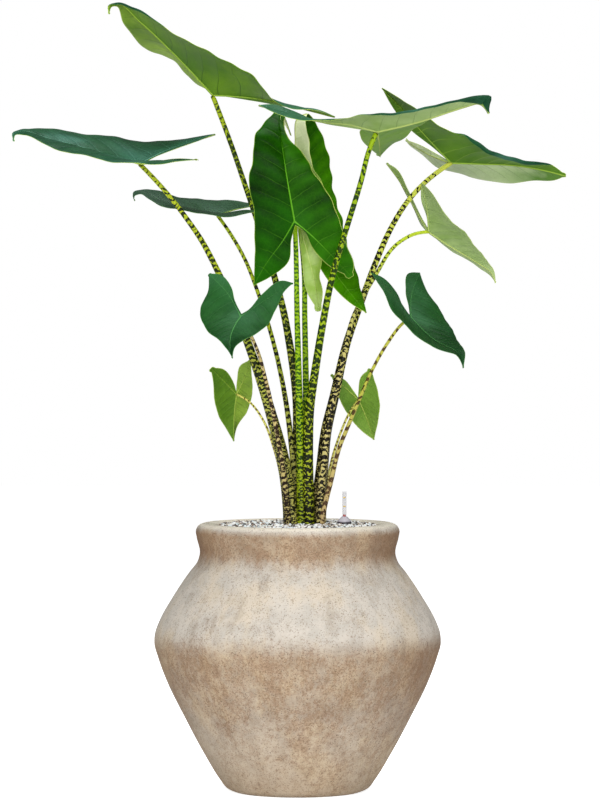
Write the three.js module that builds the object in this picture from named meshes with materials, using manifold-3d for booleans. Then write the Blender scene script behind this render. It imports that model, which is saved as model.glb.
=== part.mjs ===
// A potted zebrina alocasia: arrow-shaped leaves on banded stalks, rising from one corm
// in a stone-look planter with a grit dressing and a water gauge.
// Millimetres, +Z up, front towards -Y. The origin is the middle of the planter's base.

import * as THREE from 'three'
import { mergeVertices } from 'three/addons/utils/BufferGeometryUtils.js'
import Module from 'manifold-3d'

// Clearance kept between neighbouring pieces
const GAP = 0.35

// Planter
const PLANTER_SIDES = 40
const LIP_TOP = 335
const INNER_FLOOR = 18
const PLANTER_OUTSIDE = [
  [80, 0], [89, 4], [97, 14], [118, 48], [142, 93], [164, 138], [175, 168], [179.5, 185],
  [178.5, 198], [173, 213], [156, 243], [136, 273], [125, 288], [122.5, 297], [126.5, 318],
  [127.5, 326], [124.5, 332], [118, LIP_TOP],
]
const PLANTER_INSIDE = [
  [110, LIP_TOP], [103, 333], [99.6, 329], [99, 320], [99, 304], [118, 272], [160, 207],
  [163.5, 187], [128, 100], [84, 22], [78, INNER_FLOOR],
]

// Fill of the planter
const SUBSTRATE_TOP = 300
const GRIT_TOP = 332
const GRIT_RADIUS = 98.5
const GRIT_RELIEF = 0.9
const GRIT_MOUND = 1.4
const GRIT_RINGS = 5
const GRIT_SIDES = 30
const CORM_RADIUS = 32
const CORM_DEPTH = 58

// Leaf stalks and blades
const STALK_SIDES = 10
const STALK_RINGS = 15
const STALK_FLARE = 1.8
const BLADE_HALF_THICKNESS = 0.4
const LEAST_LEAN = 0.5
const BLADE_ARCH = 0.018
const NOTCH_DEPTH = 1.8
const BLADE_WAVE = 0.008
const WAVES_ROUND_MARGIN = 4
const LOBE_STEPS = 5
const RIB_STEPS = 9
const ACROSS_STEPS = 3
const DROOP_FROM = 0.84

// Water gauge
const GAUGE_X = 58.5
const GAUGE_SIDES = 20
const GAUGE_TOP = 375
const GAUGE_SEAT = 334
const TUBE_OUTER = 3
const TUBE_INNER = 2.3
const SHAFT_BOTTOM = 40
const FLOAT_RADIUS = 1.9
const FLOAT_TIP = 345.8
const FLOAT_LENGTH = 32
const CHAMBER_OUTER = 8
const CHAMBER_TOP = 110
const CAP_PROFILE = [
  [3.35, GAUGE_SEAT], [8, GAUGE_SEAT], [8.9, 335.4], [8.8, 336.8], [7.4, 339.3], [5.7, 340.9],
  [4.5, 342.3], [3.35, 343.2],
]

// Each blade: its rib from the stalk to the tip, and for the left and right half the vein of
// the lobe, the outer margin from lobe tip to leaf tip, and the inner margin at the notch.
// A droop, where given, is how far the tip sags.
const BLADES = [
  {
    name: 'crown_left',
    rib: [[-107, 60, 872], [-154, 30, 922], [-197, 2, 962], [-223, -14, 982], [-234, -20, 979],
      [-234, -22, 969]],
    halves: [
      {
        lobe: [[-45, 58, 867], [0, 62, 857], [47, 66, 845]],
        outer: [[21, 44, 852], [-8, 34, 855], [-32, 20, 865], [-57, 0, 895], [-106, -20, 919],
          [-164, -34, 952], [-202, -30, 976], [-226, -18, 984], [-235, -21, 980]],
        inner: [[-45, 64, 863], [-10, 72, 857], [23, 74, 855]],
      },
      {
        lobe: [[-89, 112, 877], [-68, 158, 880]],
        outer: [[-92, 160, 888], [-117, 118, 881], [-139, 95, 899], [-159, 80, 916],
          [-179, 66, 926], [-202, 42, 938], [-217, 10, 961], [-225, -10, 979], [-232, -19, 977]],
        inner: [[-93, 90, 872], [-76, 134, 876]],
      },
    ],
  },
  {
    name: 'far_left',
    rib: [[-195, -30, 783], [-251, -30, 799], [-311, -30, 815], [-344, -30, 823], [-353, -30, 820],
      [-352, -30, 811]],
    halves: [
      {
        lobe: [[-160, -70, 786], [-122, -108, 786]],
        outer: [[-150, -112, 783], [-193, -92, 781], [-228, -80, 785], [-274, -76, 794],
          [-315, -60, 807], [-339, -40, 819], [-351, -31, 818]],
        inner: [[-172, -58, 786], [-144, -90, 788]],
      },
      {
        lobe: [[-168, -14, 798], [-137, 0, 810], [-103, 5, 821]],
        outer: [[-131, 20, 818], [-160, 30, 813], [-188, 30, 813], [-233, 24, 818],
          [-297, 12, 826], [-333, -10, 828], [-346, -26, 825], [-354, -29, 821]],
        inner: [[-181, -24, 790], [-149, -14, 803], [-122, -4, 813]],
      },
    ],
  },
  {
    name: 'mid_left',
    rib: [[-101, 70, 722], [-136, 78, 729], [-175, 86, 740], [-201, 90, 750], [-209, 90, 747],
      [-207, 90, 739]],
    halves: [
      {
        lobe: [[-78, 45, 723], [-52, 20, 725]],
        outer: [[-67, 10, 721], [-95, 16, 718], [-128, 32, 724], [-161, 44, 729], [-189, 66, 741],
          [-200, 82, 748], [-207, 88, 745]],
        inner: [[-83, 56, 725], [-62, 34, 727]],
      },
      {
        lobe: [[-73, 86, 730], [-45, 100, 735]],
        outer: [[-66, 116, 738], [-99, 119, 741], [-142, 122, 743], [-178, 116, 752],
          [-199, 100, 754], [-209, 91, 749]],
        inner: [[-81, 78, 728], [-60, 92, 732]],
      },
    ],
  },
  {
    name: 'crown_right',
    rib: [[98, -60, 822], [151, -92, 834], [192, -118, 847], [220, -138, 855], [236, -150, 859]],
    droop: [-4, -4, -18],
    halves: [
      {
        lobe: [[102, 0, 809], [104, 60, 795]],
        outer: [[113, 62, 804], [136, 22, 819], [157, -34, 835], [182, -68, 845], [206, -104, 854],
          [225, -132, 854]],
        inner: [[80, -44, 825], [79, -14, 816], [92, 32, 803]],
      },
      {
        lobe: [[65, -58, 831], [28, -55, 835], [-9, -52, 845], [-48, -50, 855]],
        outer: [[-17, -74, 841], [8, -82, 834], [30, -92, 835], [64, -108, 838], [107, -126, 843],
          [155, -144, 848], [191, -152, 858], [215, -154, 862]],
        inner: [[65, -52, 827], [25, -40, 835], [-7, -40, 849], [-29, -44, 856]],
      },
    ],
  },
  {
    name: 'far_right',
    rib: [[194, 70, 787], [228, 66, 786], [280, 54, 783], [315, 46, 776], [337, 40, 770]],
    halves: [
      {
        lobe: [[167, 112, 799], [150, 136, 810], [139, 150, 818]],
        outer: [[143, 160, 812], [162, 154, 798], [182, 140, 781], [215, 122, 773],
          [247, 104, 763], [292, 84, 764], [323, 58, 765]],
        inner: [[181, 92, 796], [156, 124, 811]],
      },
      {
        lobe: [[159, 46, 823], [128, 30, 857], [106, 20, 879]],
        outer: [[128, 6, 866], [164, -6, 840], [190, -4, 825], [217, 4, 816], [244, 8, 801],
          [281, 20, 789], [316, 34, 785]],
        inner: [[172, 60, 805], [139, 46, 831], [116, 30, 861]],
      },
    ],
  },
  {
    name: 'centre_front',
    rib: [[-4, -25, 712], [-16, -40, 784], [-22, -20, 832], [-20, 4, 849], [-8, 34, 821]],
    halves: [
      {
        lobe: [[-19, -24, 687], [-38, -22, 661], [-54, -20, 633]],
        outer: [[-54, -18, 659], [-52, -28, 690], [-57, -38, 738], [-58, -44, 780],
          [-52, -36, 815], [-38, -14, 839], [-27, 2, 849], [-17, 26, 836]],
        inner: [[-8, -22, 689], [-11, -20, 663], [-34, -18, 643]],
      },
      {
        lobe: [[18, -22, 694], [44, -16, 668], [67, -12, 643]],
        outer: [[70, -14, 653], [61, -22, 682], [50, -30, 720], [32, -34, 754], [13, -38, 786],
          [-9, -32, 813], [-17, -12, 836], [-16, 10, 841]],
        inner: [[9, -20, 699], [18, -18, 680], [43, -14, 654]],
      },
    ],
  },
  {
    name: 'centre_back',
    rib: [[2, 20, 712], [-1, 28, 764], [-2, 28, 812], [0, 24, 841], [8, 16, 850]],
    droop: [4, -2, -4],
    halves: [
      {
        lobe: [[12, 16, 674], [22, 12, 634], [27, 8, 600]],
        outer: [[31, 2, 619], [28, -2, 649], [38, -6, 684], [49, -6, 717], [35, -8, 751],
          [17, -6, 788], [13, 2, 819], [9, 10, 841]],
        inner: [[3, 18, 694], [6, 16, 661], [11, 12, 626]],
      },
      {
        lobe: [[26, 18, 680], [53, 14, 639], [86, 8, 598]],
        outer: [[80, 30, 626], [70, 46, 660], [55, 58, 715], [45, 58, 755], [38, 52, 798],
          [26, 42, 831], [13, 26, 848]],
        inner: [[18, 14, 674], [41, 8, 635], [66, 4, 610]],
      },
    ],
  },
  {
    name: 'low_left',
    rib: [[-70, -80, 594], [-80, -108, 576], [-82, -136, 559], [-79, -152, 544]],
    halves: [
      {
        lobe: [[-40, -72, 614], [-6, -60, 635]],
        outer: [[-17, -66, 624], [-27, -82, 602], [-40, -104, 581], [-66, -134, 565],
          [-77, -146, 556]],
        inner: [[-62, -78, 601], [-44, -70, 621], [-18, -61, 638]],
      },
      {
        lobe: [[-86, -64, 622], [-110, -46, 646]],
        outer: [[-110, -46, 630], [-120, -66, 602], [-112, -98, 579], [-91, -130, 561],
          [-83, -146, 551]],
        inner: [[-77, -72, 612], [-82, -62, 630], [-97, -50, 646]],
      },
    ],
  },
  {
    name: 'low_right',
    rib: [[140, -50, 593], [166, -66, 567], [195, -90, 551], [205, -104, 542]],
    droop: [-2, 0, -11],
    halves: [
      {
        lobe: [[142, -16, 620], [153, 18, 648]],
        outer: [[158, 12, 633], [174, -4, 607], [189, -30, 582], [200, -70, 560], [206, -96, 548]],
        inner: [[138, -38, 605], [135, -8, 626], [141, 16, 648]],
      },
      {
        lobe: [[117, -48, 624], [91, -44, 648]],
        outer: [[104, -66, 628], [117, -84, 601], [140, -98, 576], [165, -110, 557],
          [193, -110, 548]],
        inner: [[133, -46, 602], [123, -38, 623], [107, -38, 641]],
      },
    ],
  },
  {
    name: 'mid_right',
    rib: [[166, 80, 700], [189, 98, 685], [220, 124, 667], [258, 155, 644]],
    droop: [-4, 0, -9],
    halves: [
      {
        lobe: [[146, 86, 735], [130, 90, 764], [113, 94, 787]],
        outer: [[130, 112, 764], [146, 130, 733], [167, 140, 699], [193, 152, 680],
          [223, 160, 661], [245, 160, 648]],
        inner: [[155, 80, 722], [140, 82, 753], [125, 88, 780]],
      },
      {
        lobe: [[163, 58, 732], [156, 40, 761]],
        outer: [[169, 30, 748], [184, 34, 723], [209, 62, 701], [229, 100, 678], [247, 136, 658]],
        inner: [[164, 74, 715], [156, 56, 740]],
      },
    ],
  },
  {
    name: 'young_left',
    rib: [[-77, 50, 495], [-80, 66, 472], [-81, 88, 434]],
    halves: [
      {
        lobe: [[-94, 36, 513], [-109, 22, 528]],
        outer: [[-106, 32, 511], [-105, 50, 490], [-100, 68, 468], [-88, 84, 446]],
        inner: [[-81, 42, 510], [-94, 30, 527]],
      },
      {
        lobe: [[-66, 38, 518], [-59, 30, 538]],
        outer: [[-58, 32, 522], [-57, 44, 500], [-64, 64, 473], [-78, 82, 450]],
        inner: [[-76, 44, 513], [-72, 36, 531]],
      },
    ],
  },
  {
    name: 'young_right',
    rib: [[77, 60, 488], [87, 78, 465], [97, 95, 436]],
    halves: [
      {
        lobe: [[58, 44, 505], [42, 30, 520]],
        outer: [[47, 38, 507], [53, 50, 489], [65, 66, 467], [82, 84, 447]],
        inner: [[71, 52, 498], [58, 40, 514]],
      },
      {
        lobe: [[86, 46, 507], [92, 30, 527]],
        outer: [[97, 34, 512], [103, 46, 488], [102, 68, 462], [99, 84, 446]],
        inner: [[77, 54, 499], [80, 42, 517]],
      },
    ],
  },
]

const PETIOLES = [
  {
    name: 'crown_left',
    radii: [8, 3],
    path: [[2, 14, 333], [0, 16, 438], [-1, 18, 488], [-11, 24, 564], [-18, 28, 601],
      [-28, 32, 639], [-45, 38, 695], [-64, 46, 752], [-85, 54, 813], [-107, 60, 871]],
  },
  {
    name: 'far_left',
    radii: [11, 2.8],
    path: [[-8, -4, 334], [-18, -2, 414], [-31, -2, 464], [-46, -6, 514], [-59, -10, 552],
      [-100, -18, 651], [-120, -21, 689], [-137, -24, 714], [-166, -27, 751], [-196, -30, 783]],
  },
  {
    name: 'mid_left',
    radii: [5, 2.2],
    path: [[-2, 4, 334], [-7, 14, 426], [-15, 22, 488], [-28, 34, 551], [-51, 46, 626],
      [-66, 52, 664], [-88, 62, 702], [-101, 70, 720]],
  },
  {
    name: 'crown_right',
    radii: [8.5, 3.1],
    path: [[14, -10, 334], [13, -14, 427], [15, -18, 477], [22, -24, 527], [30, -30, 577],
      [45, -40, 651], [60, -47, 701], [79, -55, 763], [88, -58, 798], [97, -60, 820]],
  },
  {
    name: 'far_right',
    radii: [10, 3],
    path: [[24, 6, 333], [31, 7, 407], [36, 9, 451], [45, 12, 489], [63, 25, 564], [81, 38, 614],
      [100, 40, 665], [116, 48, 701], [138, 56, 737], [163, 63, 764], [194, 70, 787]],
  },
  {
    name: 'centre_front',
    radii: [7, 3],
    path: [[5, -8, 334], [2, -14, 489], [-1, -14, 614], [-2, -3, 674], [-3, -4, 700], [-4, -25, 713]],
  },
  {
    name: 'centre_back',
    radii: [6.5, 3],
    path: [[12, 4, 334], [11, 8, 464], [9, 18, 589], [8, 32, 651], [5, 41, 685], [3, 38, 703],
      [1, 22, 712]],
  },
  {
    name: 'low_left',
    radii: [5, 2],
    path: [[-12, -14, 335], [-24, -27, 440], [-33, -35, 487], [-40, -42, 517], [-47, -50, 544],
      [-56, -62, 567], [-70, -79, 593]],
  },
  {
    name: 'low_right',
    radii: [4, 1.9],
    path: [[30, -12, 334], [42, -15, 390], [53, -20, 433], [62, -24, 455], [76, -30, 489],
      [94, -38, 530], [111, -43, 560], [131, -48, 586], [140, -50, 593]],
  },
  {
    name: 'mid_right',
    radii: [6, 2.2],
    path: [[28, -8, 334], [42, 4, 476], [54, 10, 526], [71, 25, 595], [97, 38, 643],
      [124, 54, 683], [145, 66, 696], [166, 80, 700]],
  },
  {
    name: 'young_left',
    radii: [3, 1.3],
    path: [[-15, 6, 333], [-28, 14, 423], [-45, 25, 466], [-60, 38, 485], [-77, 50, 495]],
  },
  {
    name: 'young_right',
    radii: [3, 1.4],
    path: [[33, 2, 334], [43, 18, 413], [55, 36, 449], [64, 48, 469], [75, 60, 486]],
  },
]

const wasm = await Module()
wasm.setup()

const vector = (p) => new THREE.Vector3(...p)

// A smooth curve through the points, by arc share from 0 to 1: cubic pieces whose slopes are
// the distance-weighted means of the neighbouring chords.
function smoothCurve(points) {
  const spans = []
  for (let i = 1; i < points.length; i += 1) {
    spans.push(points[i].distanceTo(points[i - 1]))
  }
  const length = spans.reduce((sum, span) => sum + span, 0)
  const shares = spans.map((span) => span / length)
  const knots = [0]
  shares.forEach((share) => knots.push(knots[knots.length - 1] + share))
  const chords = shares.map((share, i) => {
    return points[i + 1].clone().sub(points[i]).divideScalar(share)
  })
  const last = points.length - 1
  const slopes = points.map((_, i) => {
    if (i === 0 || i === last) return null
    const before = shares[i - 1]
    const after = shares[i]
    return chords[i].clone().multiplyScalar(before)
      .addScaledVector(chords[i - 1], after).divideScalar(before + after)
  })
  slopes[0] = chords[0].clone()
  slopes[last] = chords[last - 1].clone()
  if (last > 1) {
    slopes[0].multiplyScalar(1.5).addScaledVector(slopes[1], -0.5)
    slopes[last].multiplyScalar(1.5).addScaledVector(slopes[last - 1], -0.5)
  }
  const at = (share) => {
    const s = Math.min(Math.max(share, 0), 1)
    let i = 0
    while (i < last - 1 && s > knots[i + 1]) i += 1
    const x = (s - knots[i]) / shares[i]
    const cube = x * x * x
    const square = x * x
    return points[i].clone().multiplyScalar(2 * cube - 3 * square + 1)
      .addScaledVector(slopes[i], (cube - 2 * square + x) * shares[i])
      .addScaledVector(points[i + 1], 3 * square - 2 * cube)
      .addScaledVector(slopes[i + 1], (cube - square) * shares[i])
  }
  return { at, length }
}

// Booleans
function toSolid(geometry) {
  const bare = geometry.clone()
  bare.deleteAttribute('normal')
  bare.deleteAttribute('uv')
  const merged = mergeVertices(bare, 1e-4)
  return new wasm.Manifold(new wasm.Mesh({
    numProp: 3,
    vertProperties: new Float32Array(merged.attributes.position.array),
    triVerts: new Uint32Array(merged.index.array),
  }))
}

function toGeometry(solid) {
  const mesh = solid.getMesh()
  const geometry = new THREE.BufferGeometry()
  geometry.setAttribute('position', new THREE.BufferAttribute(mesh.vertProperties, 3))
  geometry.setIndex(new THREE.BufferAttribute(mesh.triVerts, 1))
  return geometry
}

function largestPiece(solid) {
  const pieces = solid.decompose()
  pieces.sort((a, b) => b.volume() - a.volume())
  return pieces[0]
}

// Solids of revolution about a vertical axis
function turned(profile, sides) {
  const points = profile.map(([radius, height]) => new THREE.Vector2(radius, height))
  const geometry = new THREE.LatheGeometry(points, sides)
  geometry.rotateX(Math.PI / 2)
  return geometry
}

// A blade's middle surface: every half is ruled from its veins to its margins, puffed up
// between them and waved along the outer margin.
function bladeSurface(blade) {
  const vertices = []
  const faces = []
  const known = new Map()
  const indexOf = (point) => {
    const key = point.toArray().map((value) => value.toFixed(3)).join()
    if (!known.has(key)) {
      known.set(key, vertices.length)
      vertices.push(point)
    }
    return known.get(key)
  }
  const addGrid = (rows, flipped) => {
    for (let i = 0; i + 1 < rows.length; i += 1) {
      for (let j = 0; j < ACROSS_STEPS; j += 1) {
        const a = rows[i][j]
        const b = rows[i + 1][j]
        const c = rows[i + 1][j + 1]
        const d = rows[i][j + 1]
        for (const [p, q, r] of [[a, b, c], [a, c, d]]) {
          if (p !== q && q !== r && r !== p) faces.push(flipped ? [p, r, q] : [p, q, r])
        }
      }
    }
  }
  const ribPoints = blade.rib.map(vector)
  const junction = ribPoints[0]
  const tip = ribPoints[ribPoints.length - 1]
  const rib = smoothCurve(ribPoints)
  const droop = vector(blade.droop ?? [0, 0, 0])
  const stalk = PETIOLES.find((candidate) => candidate.name === blade.name)
  const back = new THREE.Vector3()
  blade.halves.forEach((half) => back.add(vector(half.lobe[0]).sub(junction).normalize()))
  const notch = back.setLength(NOTCH_DEPTH * stalk.radii[1]).add(junction)
  blade.halves.forEach((half, side) => {
    const lobePoints = [junction, ...half.lobe.map(vector)]
    const lobeTip = lobePoints[lobePoints.length - 1]
    const lobe = smoothCurve(lobePoints)
    const outer = smoothCurve([lobeTip, ...half.outer.map(vector), tip])
    const inner = smoothCurve([notch, ...half.inner.map(vector), lobeTip])
    const atJunction = lobe.length / (lobe.length + rib.length)
    const middle = outer.at(atJunction + 0.25 * (1 - atJunction))
    const up = tip.clone().sub(junction).cross(middle.sub(junction)).normalize()
    if (side === 1) up.negate()
    const spread = (from, to, t) => from.clone().lerp(to, t)
    const outerRow = (share) => {
      const onRib = Math.max(0, (share - atJunction) / (1 - atJunction))
      const vein = share < atJunction ? lobe.at(1 - share / atJunction) : rib.at(onRib)
      const margin = outer.at(share)
      const bulge = Math.sin(Math.PI * share)
      const turns = 2 * Math.PI * WAVES_ROUND_MARGIN * share + side * 2
      const row = []
      for (let j = 0; j <= ACROSS_STEPS; j += 1) {
        const t = j / ACROSS_STEPS
        const lift = BLADE_ARCH * 4 * t * (1 - t) * bulge
          + BLADE_WAVE * t * t * Math.sin(turns) * Math.sqrt(Math.max(bulge, 0))
        const sag = Math.max(0, (onRib - DROOP_FROM) / (1 - DROOP_FROM))
        row.push(indexOf(spread(vein, margin, t)
          .addScaledVector(up, lift * rib.length)
          .addScaledVector(droop, sag * sag)))
      }
      return row
    }
    const innerRow = (share) => {
      const row = []
      for (let j = 0; j <= ACROSS_STEPS; j += 1) {
        row.push(indexOf(spread(lobe.at(share), inner.at(share), j / ACROSS_STEPS)))
      }
      return row
    }
    const outerRows = []
    for (let i = 0; i < LOBE_STEPS; i += 1) outerRows.push(outerRow(atJunction * i / LOBE_STEPS))
    for (let i = 0; i <= RIB_STEPS; i += 1) {
      outerRows.push(outerRow(atJunction + (1 - atJunction) * i / RIB_STEPS))
    }
    const innerRows = []
    for (let i = 0; i <= LOBE_STEPS; i += 1) innerRows.push(innerRow(i / LOBE_STEPS))
    addGrid(outerRows, side === 1)
    addGrid(innerRows, side === 1)
  })
  return { vertices, faces }
}

// A blade of even thickness: the middle surface pushed up and down, further where it creases,
// split into the same triangles on both faces, with a wall round the margin.
function bladeGeometry(blade, extra) {
  const { vertices, faces } = bladeSurface(blade)
  const normals = vertices.map(() => new THREE.Vector3())
  const edges = new Map()
  faces.forEach(([a, b, c]) => {
    const ab = vertices[b].clone().sub(vertices[a])
    const ac = vertices[c].clone().sub(vertices[a])
    const normal = ab.cross(ac)
    for (const corner of [a, b, c]) normals[corner].add(normal)
    for (const [from, to] of [[a, b], [b, c], [c, a]]) edges.set(`${from},${to}`, [from, to])
  })
  const count = vertices.length
  normals.forEach((normal) => normal.normalize())
  const leans = vertices.map(() => 1)
  faces.forEach(([a, b, c]) => {
    const ab = vertices[b].clone().sub(vertices[a])
    const normal = ab.cross(vertices[c].clone().sub(vertices[a])).normalize()
    for (const corner of [a, b, c]) {
      leans[corner] = Math.min(leans[corner], normal.dot(normals[corner]))
    }
  })
  const positions = []
  for (const sign of [1, -1]) {
    vertices.forEach((point, i) => {
      const reach = sign * (BLADE_HALF_THICKNESS / Math.max(leans[i], LEAST_LEAN) + extra)
      const offset = normals[i].clone().multiplyScalar(reach)
      positions.push(...point.clone().add(offset).toArray())
    })
  }
  const index = []
  faces.forEach(([a, b, c]) => {
    index.push(a, b, c)
    index.push(a + count, c + count, b + count)
  })
  edges.forEach(([from, to]) => {
    if (!edges.has(`${to},${from}`)) {
      index.push(from, from + count, to + count)
      index.push(from, to + count, to)
    }
  })
  const geometry = new THREE.BufferGeometry()
  geometry.setAttribute('position', new THREE.Float32BufferAttribute(positions, 3))
  geometry.setIndex(index)
  return geometry
}

// A leaf stalk: a closed cylinder bent along its path and tapered, standing square on the corm.
function stalkGeometry(stalk, extra) {
  const start = vector(stalk.path[0])
  const foot = new THREE.Vector3(start.x, start.y, SUBSTRATE_TOP + GAP)
  const path = smoothCurve([foot, ...stalk.path.map(vector)])
  const [thick, thin] = stalk.radii
  const geometry = new THREE.CylinderGeometry(1, 1, 1, STALK_SIDES, STALK_RINGS)
  const position = geometry.attributes.position
  const depthAxis = new THREE.Vector3(0, 1, 0)
  for (let i = 0; i < position.count; i += 1) {
    const share = Math.min(Math.max(position.getY(i) + 0.5, 0), 1)
    const centre = path.at(share)
    const ahead = path.at(share + 0.003).sub(path.at(share - 0.003)).normalize()
    if (share < 0.001) ahead.set(0, 0, 1)
    const across = depthAxis.clone().cross(ahead).normalize()
    const behind = ahead.clone().cross(across)
    const radius = thin + (thick - thin) * (1 - share) ** STALK_FLARE + extra
    centre.addScaledVector(across, position.getX(i) * radius)
    centre.addScaledVector(behind, -position.getZ(i) * radius)
    position.setXYZ(i, centre.x, centre.y, centre.z)
  }
  return geometry
}

// Stalks are packed at the base, so each gives way to those listed before it, and each is
// trimmed just short of its own blade.
function makeStalks() {
  const finished = []
  const cutters = []
  for (const stalk of PETIOLES) {
    let solid = toSolid(stalkGeometry(stalk, 0))
    for (const cutter of cutters) solid = solid.subtract(cutter)
    const blade = BLADES.find((candidate) => candidate.name === stalk.name)
    solid = solid.subtract(toSolid(bladeGeometry(blade, GAP)))
    finished.push({ name: stalk.name, solid: largestPiece(solid) })
    cutters.push(toSolid(stalkGeometry(stalk, GAP)))
  }
  return { finished, cutters }
}

// The grit dressing: a disc whose top is raised by a formula, holed for stalks and gauge
function gritGeometry() {
  const profile = [[0, SUBSTRATE_TOP + GAP], [GRIT_RADIUS, SUBSTRATE_TOP + GAP]]
  for (let ring = GRIT_RINGS; ring >= 1; ring -= 1) {
    profile.push([GRIT_RADIUS * ring / GRIT_RINGS, GRIT_TOP])
  }
  profile.push([0, GRIT_TOP])
  const geometry = turned(profile, GRIT_SIDES)
  const position = geometry.attributes.position
  for (let i = 0; i < position.count; i += 1) {
    const x = position.getX(i)
    const y = position.getY(i)
    const relief = Math.sin(0.31 * x) * Math.cos(0.27 * y) + 0.6 * Math.sin(0.23 * x - 0.37 * y)
    const mound = GRIT_MOUND * (1 - Math.hypot(x, y) / GRIT_RADIUS)
    if (position.getZ(i) > GRIT_TOP - 1) {
      position.setZ(i, GRIT_TOP + mound + GRIT_RELIEF * relief)
    }
  }
  return geometry
}

// The gauge's outside as one solid of revolution, grown by a margin, to cut its hole
function gaugeHole(margin) {
  return turned([
    [0, SHAFT_BOTTOM - margin], [CHAMBER_OUTER + margin, SHAFT_BOTTOM - margin],
    [CHAMBER_OUTER + margin, CHAMBER_TOP + margin], [TUBE_OUTER + margin, CHAMBER_TOP + margin],
    [TUBE_OUTER + margin, GAUGE_TOP + margin], [0, GAUGE_TOP + margin],
  ], GAUGE_SIDES).translate(GAUGE_X, 0, 0)
}

const group = new THREE.Group()

function addPiece(name, geometry, color, roughness, metalness = 0) {
  const material = new THREE.MeshStandardMaterial({ color, roughness, metalness })
  const mesh = new THREE.Mesh(geometry, material)
  mesh.name = name
  group.add(mesh)
  return mesh
}

function addPlanter() {
  const wall = turned([
    [0, 0], ...PLANTER_OUTSIDE, ...PLANTER_INSIDE, [0, INNER_FLOOR],
  ], PLANTER_SIDES)
  addPiece('planter', wall, 0xd2c4b0, 0.85)
}

function addFill(stalkCutters) {
  const inside = PLANTER_INSIDE.filter(([, height]) => height < SUBSTRATE_TOP).reverse()
  const soil = toSolid(turned([
    [0, INNER_FLOOR + GAP],
    ...inside.map(([radius, height]) => [radius - 1.5 * GAP, Math.max(height, INNER_FLOOR + GAP)]),
    [GRIT_RADIUS, SUBSTRATE_TOP],
    [CORM_RADIUS, SUBSTRATE_TOP],
    [CORM_RADIUS, SUBSTRATE_TOP - CORM_DEPTH],
    [0, SUBSTRATE_TOP - CORM_DEPTH],
  ], PLANTER_SIDES))
  const shaft = toSolid(gaugeHole(GAP))
  addPiece('substrate', toGeometry(soil.subtract(shaft)), 0x4a3b2c, 0.95)

  const seat = new THREE.CylinderGeometry(9.5, 9.5, 20, GAUGE_SIDES).rotateX(Math.PI / 2)
  seat.translate(GAUGE_X, 0, GAUGE_SEAT - GAP + 10)
  let grit = toSolid(gritGeometry()).subtract(shaft).subtract(toSolid(seat))
  for (const cutter of stalkCutters) grit = grit.subtract(cutter)
  addPiece('grit_dressing', toGeometry(largestPiece(grit)), 0xb3aea8, 0.9)

  const floor = SUBSTRATE_TOP - CORM_DEPTH + GAP
  addPiece('corm', turned([
    [0, floor], [14, floor], [25, floor + 6], [31.4, floor + 20], [31.4, floor + 40],
    [29.5, SUBSTRATE_TOP], [0, SUBSTRATE_TOP],
  ], GAUGE_SIDES), 0x8a6a48, 0.9)
}

function addLeaves(stalks) {
  for (const { name, solid } of stalks) {
    addPiece(`petiole_${name}`, toGeometry(solid), 0x9aa331, 0.5)
  }
  for (const blade of BLADES) {
    addPiece(`blade_${blade.name}`, bladeGeometry(blade, 0), 0x2f6b1f, 0.4)
  }
}

// A clear tube with a float chamber below, its cap on the grit, and the float's rod and red tip
function addGauge() {
  const bore = CHAMBER_OUTER - 0.9
  const tube = turned([
    [0, GAUGE_TOP - 1.5], [TUBE_INNER, GAUGE_TOP - 1.5], [TUBE_INNER, CHAMBER_TOP - 1.2],
    [bore, CHAMBER_TOP - 1.2], [bore, SHAFT_BOTTOM + 1.5], [bore - 2, SHAFT_BOTTOM + 1.5],
    [bore - 2, SHAFT_BOTTOM], [CHAMBER_OUTER, SHAFT_BOTTOM], [CHAMBER_OUTER, CHAMBER_TOP],
    [TUBE_OUTER, CHAMBER_TOP], [TUBE_OUTER, GAUGE_TOP - 1], [TUBE_OUTER - 0.8, GAUGE_TOP],
    [0, GAUGE_TOP],
  ], GAUGE_SIDES)
  tube.translate(GAUGE_X, 0, 0)
  addPiece('gauge_tube', tube, 0xdfe4e6, 0.15)

  const seat = SHAFT_BOTTOM + 1.5 + GAP
  const float = turned([
    [0, seat], [bore - 0.8, seat], [bore - 0.8, seat + FLOAT_LENGTH], [1, seat + FLOAT_LENGTH],
    [1, FLOAT_TIP - 5], [FLOAT_RADIUS, FLOAT_TIP - 5], [FLOAT_RADIUS, FLOAT_TIP], [0, FLOAT_TIP],
  ], GAUGE_SIDES)
  float.translate(GAUGE_X, 0, 0)
  addPiece('gauge_float', float, 0xb8321e, 0.4)

  const cap = turned([...CAP_PROFILE, CAP_PROFILE[0]], GAUGE_SIDES)
  cap.translate(GAUGE_X, 0, 0)
  addPiece('gauge_cap', cap, 0x4a4c50, 0.35)
}

addPlanter()
const { finished, cutters } = makeStalks()
addFill(cutters)
addLeaves(finished)
addGauge()

export default group
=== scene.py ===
import itertools
import math

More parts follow.
